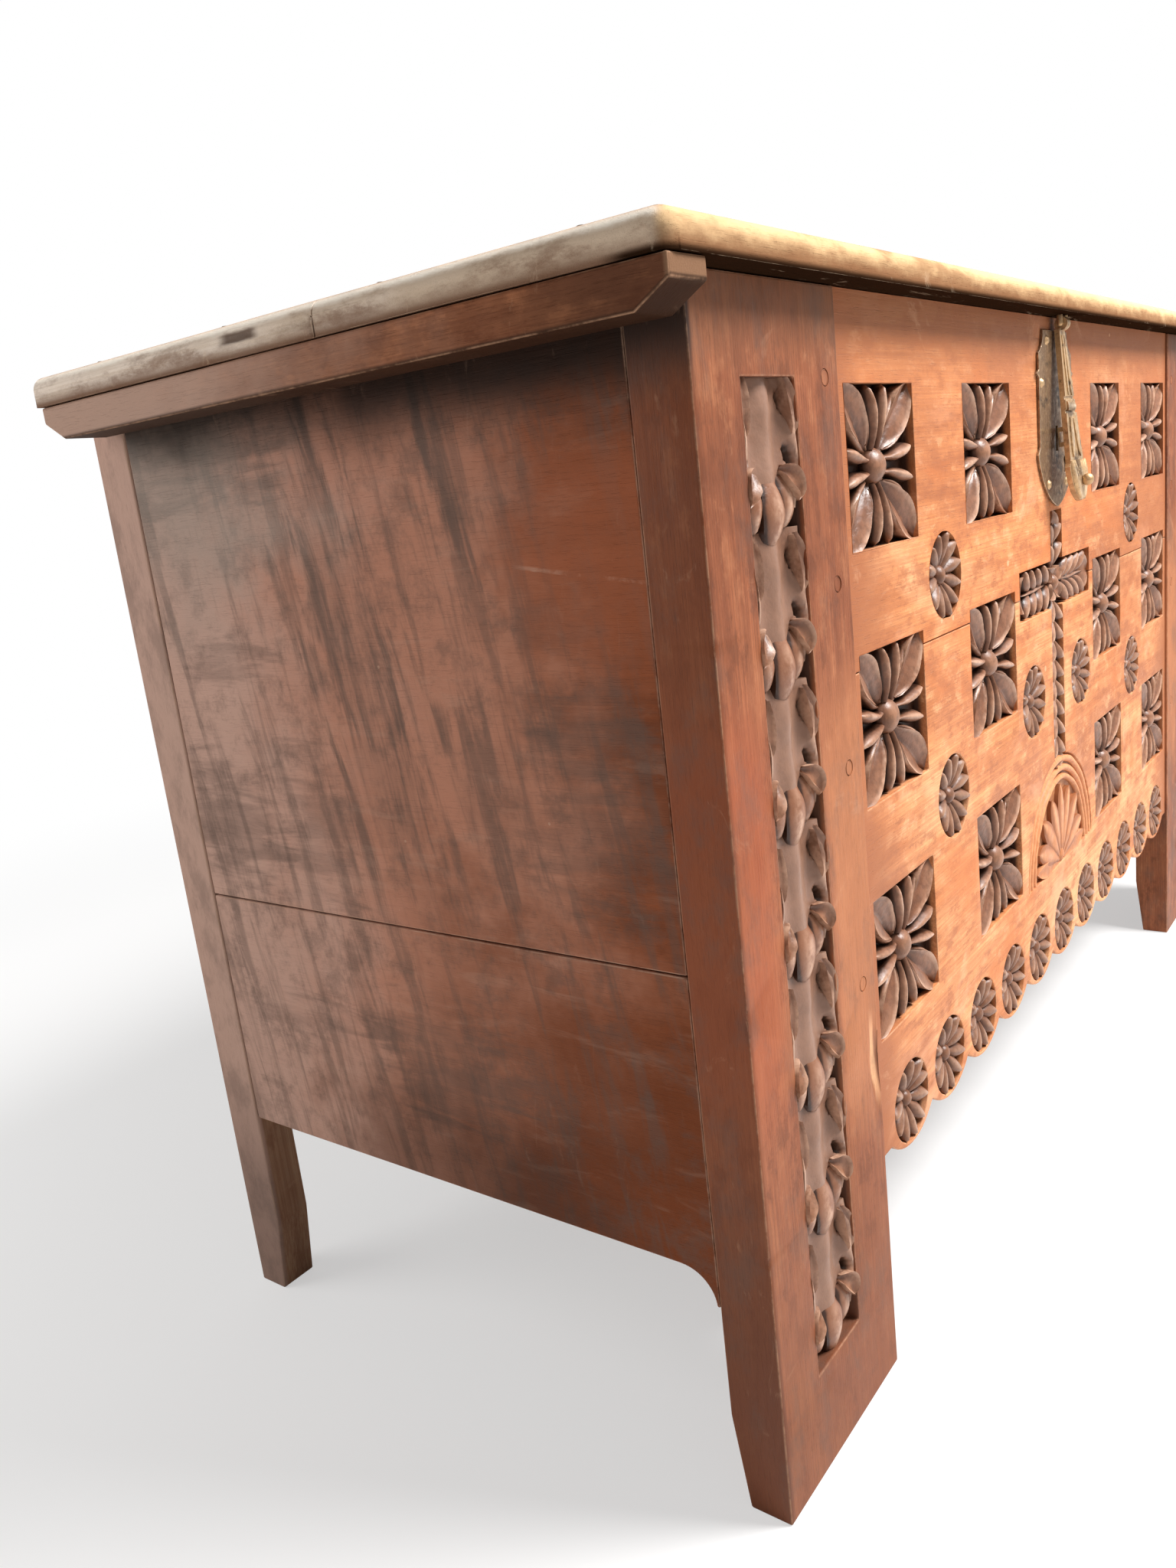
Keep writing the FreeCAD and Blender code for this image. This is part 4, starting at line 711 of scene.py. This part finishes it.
# petals round a boss, in a bowl that rises to its rim
def makeRosette(name, radius, petals, boss, lift):
    bm = newMotif()
    for step in range(petals):
        angle = (step + 0.5) * 2 * math.pi / petals
        spine = turned([(boss * 0.6, 0), (radius * 0.55, 0), (radius + 0.6, 0)], angle)
        addLobe(bm, spine, 2 * math.pi * radius * 0.78 / petals, lift, root=0.5, belly=1.3, point=0.5, rise=0.3,
                peak=0.95, droop=0, scoop=-0.55, steps=(12, 8))
    addBoss(bm, 0, 0, boss, lift * 0.4)
    return keepMotif(bm, name)


# leaves in pairs along the arms of the cross, which meet in a small rosette
cross = {"reach": 112, "arm": 22, "shaft": 18, "top": 68, "foot": 185, "firstPair": 15, "pitch": 19, "tipRoom": 26}


def makeCross():
    bm = newMotif()
    arms = [(0, cross["reach"], cross["arm"]), (math.pi, cross["reach"], cross["arm"]),
            (math.pi / 2, cross["top"], cross["shaft"]), (-math.pi / 2, cross["foot"], cross["shaft"])]
    for angle, length, half in arms:
        start = cross["firstPair"]
        while start < length - cross["tipRoom"]:
            for side in (-1, 1):
                spine = [(start, side * 1.5), (start + 14, side * half * 0.35), (start + 21, side * half * 0.97)]
                addLobe(bm, turned(spine, angle), 14, 11.4, root=0.5, belly=1.2, point=0.6, scoop=-0.5)
            start += cross["pitch"]
        addLobe(bm, turned([(start - 4, 0), (length - 14, 0), (length, 0)], angle), half * 1.5, 10.4, root=0.4)
        addLobe(bm, turned([(8, 0), (length / 2, 0), (length - 12, 0)], angle), 5, 9.0, root=0.9, scoop=-0.2, droop=0)
    for quarter in range(4):
        angle = math.pi / 4 + quarter * math.pi / 2
        addLobe(bm, turned([(4, 0), (12, 0), (21, 0)], angle), 15, 11.0, root=0.5)
    addBoss(bm, 0, 0, 9, 4.5)
    return keepMotif(bm, "crossMotif")


# low ribs bent to a half round, with a palmette in between
arch = {"ribs": ((103.6, 4.2), (93.8, 4.0), (84.6, 3.4)), "lift": 4.6, "leaves": 7, "firstLeaf": 20, "fan": 140}


def makeArch():
    bm = newMotif()
    liftLayer = bm.verts.layers.float["lift"]
    for radius, half in arch["ribs"]:
        profile = []
        for step in range(7):
            a = math.pi * step / 6
            vert = bm.verts.new((radius - math.cos(a) * half, 0.8 - math.sin(a) * (arch["lift"] + 0.8), 0))
            vert[liftLayer] = math.sin(a)
            profile.append(vert)
        edges = [bm.edges.new(pair) for pair in zip(profile, profile[1:])]
        edges.append(bm.edges.new((profile[-1], profile[0])))
        bmesh.ops.spin(bm, geom=profile + edges, axis=(0, -1, 0), cent=(0, 0, 0), angle=math.pi, steps=56)
    rims = [edge for edge in bm.edges if len(edge.link_faces) == 1]
    bmesh.ops.holes_fill(bm, edges=rims, sides=0)
    for step in range(arch["leaves"]):
        angle = math.radians(arch["firstLeaf"] + arch["fan"] * step / (arch["leaves"] - 1))
        reach = 79 if step % 2 else 76
        spine = turned([(8, 0), (40, 4 if step < 3 else -4), (reach, 0)], angle)
        addLobe(bm, spine, 22, 4.6, root=0.3, belly=1.35, point=0.6, rise=0.75, scoop=-0.35)
    for side in (-1, 1):
        addLobe(bm, [(side * 10, 3), (side * 40, 4), (side * 79, 9)], 15, 4.3, root=0.5, rise=0.7, belly=1.3)
    addBoss(bm, 0, 6, 11, -5)
    return keepMotif(bm, "archMotif")


# one husk of the stile garland: a broad hollow body pierced beside its margins, and three round tips below it
husk = {"pitch": 91.1, "half": 31.0, "top": 6, "foot": -74, "pits": ((24.5, -14), (25, -44)), "pitSize": (3.0, 6.5)}


def addHollow(bm):
    liftLayer, edgeLayer, warmLayer = layersOf(bm, "lift", "edge", "warm")
    made = bmesh.ops.create_grid(bm, x_segments=30, y_segments=30, size=1)["verts"]
    for vert in made:
        u, v = vert.co.x, 0.5 - vert.co.y / 2  # across, and down the body
        x, z = u * husk["half"], husk["top"] + (husk["foot"] - husk["top"]) * v
        fold = math.cos(abs(u) * 2 * math.pi)  # a crest in the middle and one along each margin
        high = (5.8 + 2.4 * fold + 2.4 * u ** 4) * (0.66 + 0.34 * min(v / 0.3, 1)) + 0.7 * math.sin(v * 9 + abs(u) * 3)
        high *= 1 - 0.55 * max(0, (v - 0.8) / 0.2) ** 2 * (1 - 0.7 * u * u)
        pit = 0
        for across, down in husk["pits"]:
            lean = (z - down) * 0.35
            away = ((abs(x) - across + lean) / husk["pitSize"][0]) ** 2 + ((z - down) / husk["pitSize"][1]) ** 2
            pit = max(pit, math.exp(-away ** 2))
        waist = 1 - 0.06 * (0.5 + 0.5 * math.cos(v * 2.2 * 2 * math.pi)) * abs(u) - 0.12 * max(0, v - 0.86) / 0.14
        vert.co = (x * waist, -min(high, 10.5) * (1 - 0.9 * pit), z)
        vert[warmLayer] = -0.8
        # pits and the lower end of the body count as lower, painted darker as shade; flecks along the margins are
        # painted pale, as wear and a painted highlight
        vert[liftLayer] = 0.5 + 0.14 * fold + 0.2 * min(v / 0.3, 1) - 1.5 * pit - 0.5 * max(0, v - 0.85) / 0.15
        vert[edgeLayer] = max(0, abs(u) - 0.8) / 0.2 * (1 - pit) * (0.4 + 0.6 * math.sin(v * 11) ** 2)
    closeDown(bm, made)


def makeHusk():
    bm = newMotif()
    addHollow(bm)
    for side in (-1, 1):
        addLobe(bm, [(side * 18, -54), (side * 21, -70), (side * 17, -86)], 18, 8.8, root=0.9, belly=1, point=0.36,
                rise=0.45, peak=0.5, droop=0.6, scoop=-0.35, warm=0.7)
        addLobe(bm, [(side * 17, -50), (side * 29, -56), (side * 29, -70)], 14, 11.4, root=0.3, rise=0.5, peak=0.7,
                scoop=0.4, steps=(10, 6))
        addLobe(bm, [(side * 24, 2), (side * 31, -16), (side * 27, -34)], 11, 9.6, root=0.4, rise=0.7, peak=0.6,
                scoop=0.4, warm=-0.5, steps=(12, 6))
    addLobe(bm, [(0, -54), (0, -74), (0, -96)], 25, 10.8, root=0.9, belly=1, point=0.34, rise=0.5, peak=0.5,
            droop=0.55, scoop=-0.35, warm=0.8)
    return keepMotif(bm, "huskMotif")


handSeed = 5
noise.seed_set(handSeed)  # noise_vector follows the clock until a seed is set


def setMotif(target, motif, x, z, ground):
    before = len(target.verts)
    target.from_mesh(motif)
    target.verts.ensure_lookup_table()
    fresh = target.verts[before:]
    bmesh.ops.transform(target, matrix=Matrix.Translation((x, ground, z)) @ Matrix.Scale(mm, 4), verts=fresh)
    for vert in fresh:  # no two cuts of the hand are alike
        drift = noise.noise_vector(vert.co * 38) * 1.1 + noise.noise_vector(vert.co * 140) * 0.4
        if vert.co.y < ground:
            vert.co += Vector((drift.x, drift.y * 0.6, drift.z)) * mm


fields = {"ground": plankFace + 0.013, "archGround": plankFace + 0.005, "stripGround": stileFace + 0.012,
          "columns": (-0.394, -0.182, 0.182, 0.394), "rows": (0.659, 0.485, 0.311), "between": 0.288,
          "roundelRows": (0.572, 0.398), "besideCross": (0.077, 0.43), "crossMiddle": 0.53, "archFoot": 0.252,
          "apronStart": -0.443, "apronPitch": 0.89 / 11, "apronCount": 11, "apronRow": 0.188,
          "stripInset": 0.0835, "stripTop": 0.715, "husks": 7}
roundel = {"radius": 33, "petals": 12, "boss": 7.5, "lift": 11.5}
apronRosette = {"radius": 32, "petals": 11, "boss": 7, "lift": 11.5}


def carve(name, material, motif, spots, ground):
    target = newMotif()
    for x, z in spots:
        setMotif(target, motif, x, z, ground)
    finishPiece(target, name, material, "chest", "carved")


def carveFront(material, rosetteMaterial, archMaterial):
    ground = fields["ground"]
    squareMotif = makeSquare()
    for number, x in enumerate(fields["columns"], 1):
        carve(f"square_carving_{number}", material, squareMotif, [(x, z) for z in fields["rows"]], ground)
    across, high = fields["besideCross"]
    spots = [(side * fields["between"], z) for side in (-1, 1) for z in fields["roundelRows"]]
    spots += [(-across, high), (across, high)]
    carve("roundel_carving", rosetteMaterial, makeRosette("roundelMotif", **roundel), spots, ground)
    steps = range(fields["apronCount"])
    spots = [(fields["apronStart"] + (step + 0.5) * fields["apronPitch"], fields["apronRow"]) for step in steps]
    carve("apron_carving", rosetteMaterial, makeRosette("apronMotif", **apronRosette), spots, ground)
    carve("cross_carving", material, makeCross(), [(0, fields["crossMiddle"])], ground)
    carve("arch_carving", archMaterial, makeArch(), [(0, fields["archFoot"])], fields["archGround"])
    garland = makeHusk()
    rows = [fields["stripTop"] - step * husk["pitch"] * mm for step in range(fields["husks"])]
    for side, hand in ((-1, "left"), (1, "right")):
        x = side * (stileEnd - fields["stripInset"])
        carve(f"garland_{hand}", material, garland, [(x, z) for z in rows], fields["stripGround"])


# carved oak: darker with depth as painted shade, darkest in the ground, dull brown above it, lighter on top as painted
# light, and pale where it is rubbed and as a painted highlight on crests and rims
def makeCarvedOak(name, look):
    material, tree, shader, place = startMaterial(name)
    cloud = clouds(tree, place, 55, 4, 0.6)
    fine = stretched(tree, place, (160, 240, 160), 3, 0.6)
    level = wander(tree, attribute(tree, "lift"), cloud, 0.55)
    warm = attribute(tree, "warm")
    high = soften(tree, level, 0.1, 0.7)
    colour = blendColour(tree, soften(tree, level, 0.05, 0.6), look["ground"], look["body"])
    colour = paint(tree, colour, look, [
        (soften(tree, level, 0.55, 1.1, 0, 0.8), "high"), (soften(tree, fine, 0.38, 0.6, 0.3, 0), "ground"),
        (times(tree, soften(tree, warm, 0, 1), high), "warm"),
        (times(tree, soften(tree, warm, -1, 0, 0.8, 0), high), "grey"),
        (rubbed(tree, place, look["wear"]), "rubAndHighlight")])
    tree.links.new(colour, shader.inputs["Base Color"])
    tree.links.new(soften(tree, cloud, 0.3, 0.7, look["rough"], look["rough"] + 0.16), shader.inputs["Roughness"])
    shader.inputs["Specular IOR Level"].default_value = look["gloss"]
    roughen(tree, shader, sums(tree, "ADD", times(tree, cloud, 0.0012), times(tree, fine, 0.0005)))
    return material


carvedLook = {"ground": tone(0.032, 0.011, 0.005), "body": tone(0.196, 0.08, 0.041),
              "high": tone(0.345, 0.17, 0.098), "rubAndHighlight": tone(0.68, 0.43, 0.3), "warm": tone(0.215, 0.085, 0.042),
              "grey": tone(0.27, 0.155, 0.108), "wear": 0.72, "rough": 0.31, "gloss": 0.3}
archLook = dict(carvedLook, ground=tone(0.3, 0.105, 0.042), body=tone(0.6, 0.245, 0.105),
                high=tone(0.72, 0.315, 0.145), rubAndHighlight=tone(0.8, 0.43, 0.23), wear=0.5, gloss=0.2, rough=0.4)
rosetteLook = dict(carvedLook, body=tone(0.16, 0.063, 0.032), high=tone(0.262, 0.124, 0.07),
                   rubAndHighlight=tone(0.5, 0.31, 0.21))
carveFront(makeCarvedOak("carvedOak", carvedLook), makeCarvedOak("rosetteOak", rosetteLook),
           makeCarvedOak("archOak", archLook))
print("front carved")


# old iron, brown with age and rubbed to a dull gold
def makeIron(name, look):
    material, tree, shader, place = startMaterial(name)
    pits = clouds(tree, place, 190, 4, 0.65)
    patches = clouds(tree, place, 46, 4, 0.62, 0.6)
    colour = blendColour(tree, soften(tree, patches, 0.28, 0.5), look["dark"], look["brown"])
    colour = paint(tree, colour, look, [(soften(tree, pits, 0.5, 0.66, 0, 0.55), "gold"),
                                        (soften(tree, pits, 0.3, 0.42, 0.8, 0), "dark"),
                                        (rubbed(tree, place, look["wear"]), "bright")])
    tree.links.new(colour, shader.inputs["Base Color"])
    tree.links.new(soften(tree, pits, 0.3, 0.7, look["rough"] + 0.2, look["rough"]), shader.inputs["Roughness"])
    shader.inputs["Metallic"].default_value = 0.7
    roughen(tree, shader, times(tree, pits, 0.0007))
    return material


ironLook = {"dark": tone(0.1, 0.055, 0.028), "brown": tone(0.48, 0.305, 0.155), "gold": tone(0.72, 0.51, 0.285),
            "bright": tone(0.8, 0.64, 0.47), "wear": 0.85, "rough": 0.34}
haspIron = makeIron("haspIron", ironLook)
plateIron = makeIron("plateIron", dict(ironLook, dark=tone(0.05, 0.03, 0.017), brown=tone(0.25, 0.145, 0.076),
                                       gold=tone(0.54, 0.35, 0.18)))
hingeIron = makeIron("hingeIron", dict(ironLook, brown=tone(0.16, 0.115, 0.085), gold=tone(0.26, 0.19, 0.13),
                                       bright=tone(0.5, 0.42, 0.34), rough=0.42))
ironNodes = [s["node"] for s in frame["record"]["subparts"] if s["material_slot"] == "iron"]
ironFinish = {"hasp_strap": haspIron, "hasp_loop": haspIron, "lock_plate": plateIron, "lid_strap_left": hingeIron,
              "lid_strap_right": hingeIron, "back_strap_left": hingeIron, "back_strap_right": hingeIron}
for index, name in enumerate(ironNodes):
    if name in ironFinish:
        workNode(name, index, ironFinish[name], "iron", ease=0.55, wobble=0.2, cell=0.014, shortest=0.8)
    else:
        nodes[name].data.materials.clear()
        nodes[name].data.materials.append(haspIron if name.startswith("hasp") or name == "plate_nails" else hingeIron)
print("iron worked", len(ironNodes))


# the hasp's cross band, its two ridges and the shell at its end; x across, z down from the pivot, -y outward
hasp = {"pivot": (-0.264584, 0.762), "lean": math.radians(5.6), "front": 0.8}


def dressHasp():
    bm = newMotif()
    addLobe(bm, [(-13, -72.5), (0, -72.5), (13, -72.5)], 8.5, 1.3, root=1, belly=1, point=0.2, rise=1, scoop=-0.3)
    ridge = {"root": 0.9, "belly": 0.8, "point": 0.4, "rise": 0.8, "scoop": -0.4}
    for side in (-1, 1):
        addLobe(bm, [(side * 5, -83), (side * 7.5, -100), (side * 11, -118)], 9, 1.2, **ridge)
        addLobe(bm, [(side * 2.6, -10), (side * 3.2, -36), (side * 5, -63)], 4.5, 0.9, **ridge)
    for step in range(7):
        across = (step - 3) * 6.6
        addLobe(bm, [(across, -121), (across * 0.95, -138), (across * 0.22, -157)], 7, 2.6, root=0.5, belly=0.7,
                point=0.55, rise=0.5, peak=0.35, droop=0.3, scoop=-0.7, steps=(14, 6))
    bmesh.ops.recalc_face_normals(bm, faces=bm.faces)
    lean = hasp["lean"]
    for vert in bm.verts:
        down, out = -vert.co.z, -vert.co.y - hasp["front"]
        vert.co = Vector((vert.co.x, hasp["pivot"][0] / mm - down * math.sin(lean) - out * math.cos(lean),
                          hasp["pivot"][1] / mm - down * math.cos(lean) + out * math.sin(lean))) * mm
    finishPiece(bm, "hasp_ornament", haspIron, "hasp", "carved")


dressHasp()
print("hasp dressed")


# floor, light and camera
def addFloor():
    bm = bmesh.new()
    bmesh.ops.create_grid(bm, x_segments=2, y_segments=2, size=20)
    mesh = bpy.data.meshes.new("floor")
    bm.to_mesh(mesh)
    bm.free()
    material, tree, shader, place = startMaterial("paleFloor")
    shader.inputs["Base Color"].default_value = tone(0.86, 0.85, 0.84)
    shader.inputs["Roughness"].default_value = 0.9
    away = put(tree, "VectorMath", {0: place}, operation="LENGTH").outputs["Value"]
    seen = put(tree, "LightPath").outputs["Is Camera Ray"]
    fade = times(tree, soften(tree, away, 0.7, 2.4, 0.5, 1), seen)
    white = put(tree, "Emission", {0: tone(1, 1, 1), 1: 1})
    both = put(tree, "MixShader", {0: fade, 1: shader.outputs[0], 2: white.outputs[0]})
    tree.links.new(both.outputs[0], tree.nodes["Material Output"].inputs[0])
    mesh.materials.append(material)
    floor = bpy.data.objects.new("floor", mesh)
    bpy.context.scene.collection.objects.link(floor)


def addLamp(name, place, target, size, power):
    lamp = bpy.data.lights.new(name, "AREA")
    lamp.shape = "DISK"
    lamp.size = size
    lamp.energy = power
    item = bpy.data.objects.new(name, lamp)
    item.location = place
    item.rotation_euler = (Vector(target) - Vector(place)).to_track_quat("-Z", "Y").to_euler()
    bpy.context.scene.collection.objects.link(item)


def addWorld(strength):
    world = bpy.data.worlds.new("studio")
    bpy.context.scene.world = world
    world.use_nodes = True
    tree = world.node_tree
    tree.nodes.clear()
    path = put(tree, "LightPath")
    seen = sums(tree, "MAXIMUM", path.outputs["Is Camera Ray"],
                sums(tree, "MAXIMUM", path.outputs["Is Glossy Ray"], path.outputs["Is Transmission Ray"]))
    around = put(tree, "Background", {0: tone(1, 0.98, 0.96), 1: strength})
    white = put(tree, "Background", {0: tone(1, 1, 1), 1: 1})
    both = put(tree, "MixShader", {0: seen, 1: around.outputs[0], 2: white.outputs[0]})
    output = tree.nodes.new("ShaderNodeOutputWorld")
    tree.links.new(both.outputs[0], output.inputs[0])


view = {"place": (-1.188251, -0.593257, 0.66468), "yaw": 0.9068005, "pitch": -0.2380566, "roll": -0.1162661,
        "focal": 1567.6873, "pictureHeight": 2048, "sensor": 36}


def addCamera():
    yaw, pitch, roll = view["yaw"], view["pitch"], view["roll"]
    ahead = Vector((math.sin(yaw) * math.cos(pitch), math.cos(yaw) * math.cos(pitch), math.sin(pitch)))
    level = ahead.cross(Vector((0, 0, 1))).normalized()
    upright = level.cross(ahead)
    right = level * math.cos(roll) + upright * math.sin(roll)
    up = upright * math.cos(roll) - level * math.sin(roll)
    data = bpy.data.cameras.new("camera")
    data.sensor_fit = "VERTICAL"
    data.sensor_height = view["sensor"]
    data.lens = view["sensor"] * view["focal"] / view["pictureHeight"]
    data.clip_start = 0.02
    camera = bpy.data.objects.new("camera", data)
    facing = Matrix((right, up, -ahead)).transposed().to_4x4()
    camera.matrix_world = Matrix.Translation(view["place"]) @ facing
    bpy.context.scene.collection.objects.link(camera)
    bpy.context.scene.camera = camera


addFloor()
addLamp("keyLamp", place=(0.7, -1.9, 3.0), target=(0, -0.25, 0.4), size=1.3, power=215)
addLamp("sideLamp", place=(-1.6, 1.3, 1.3), target=(-0.6, 0.15, 0.45), size=1.2, power=15)
addWorld(0.22)
addCamera()
bpy.context.scene.view_settings.view_transform = "Standard"
print("stage set")
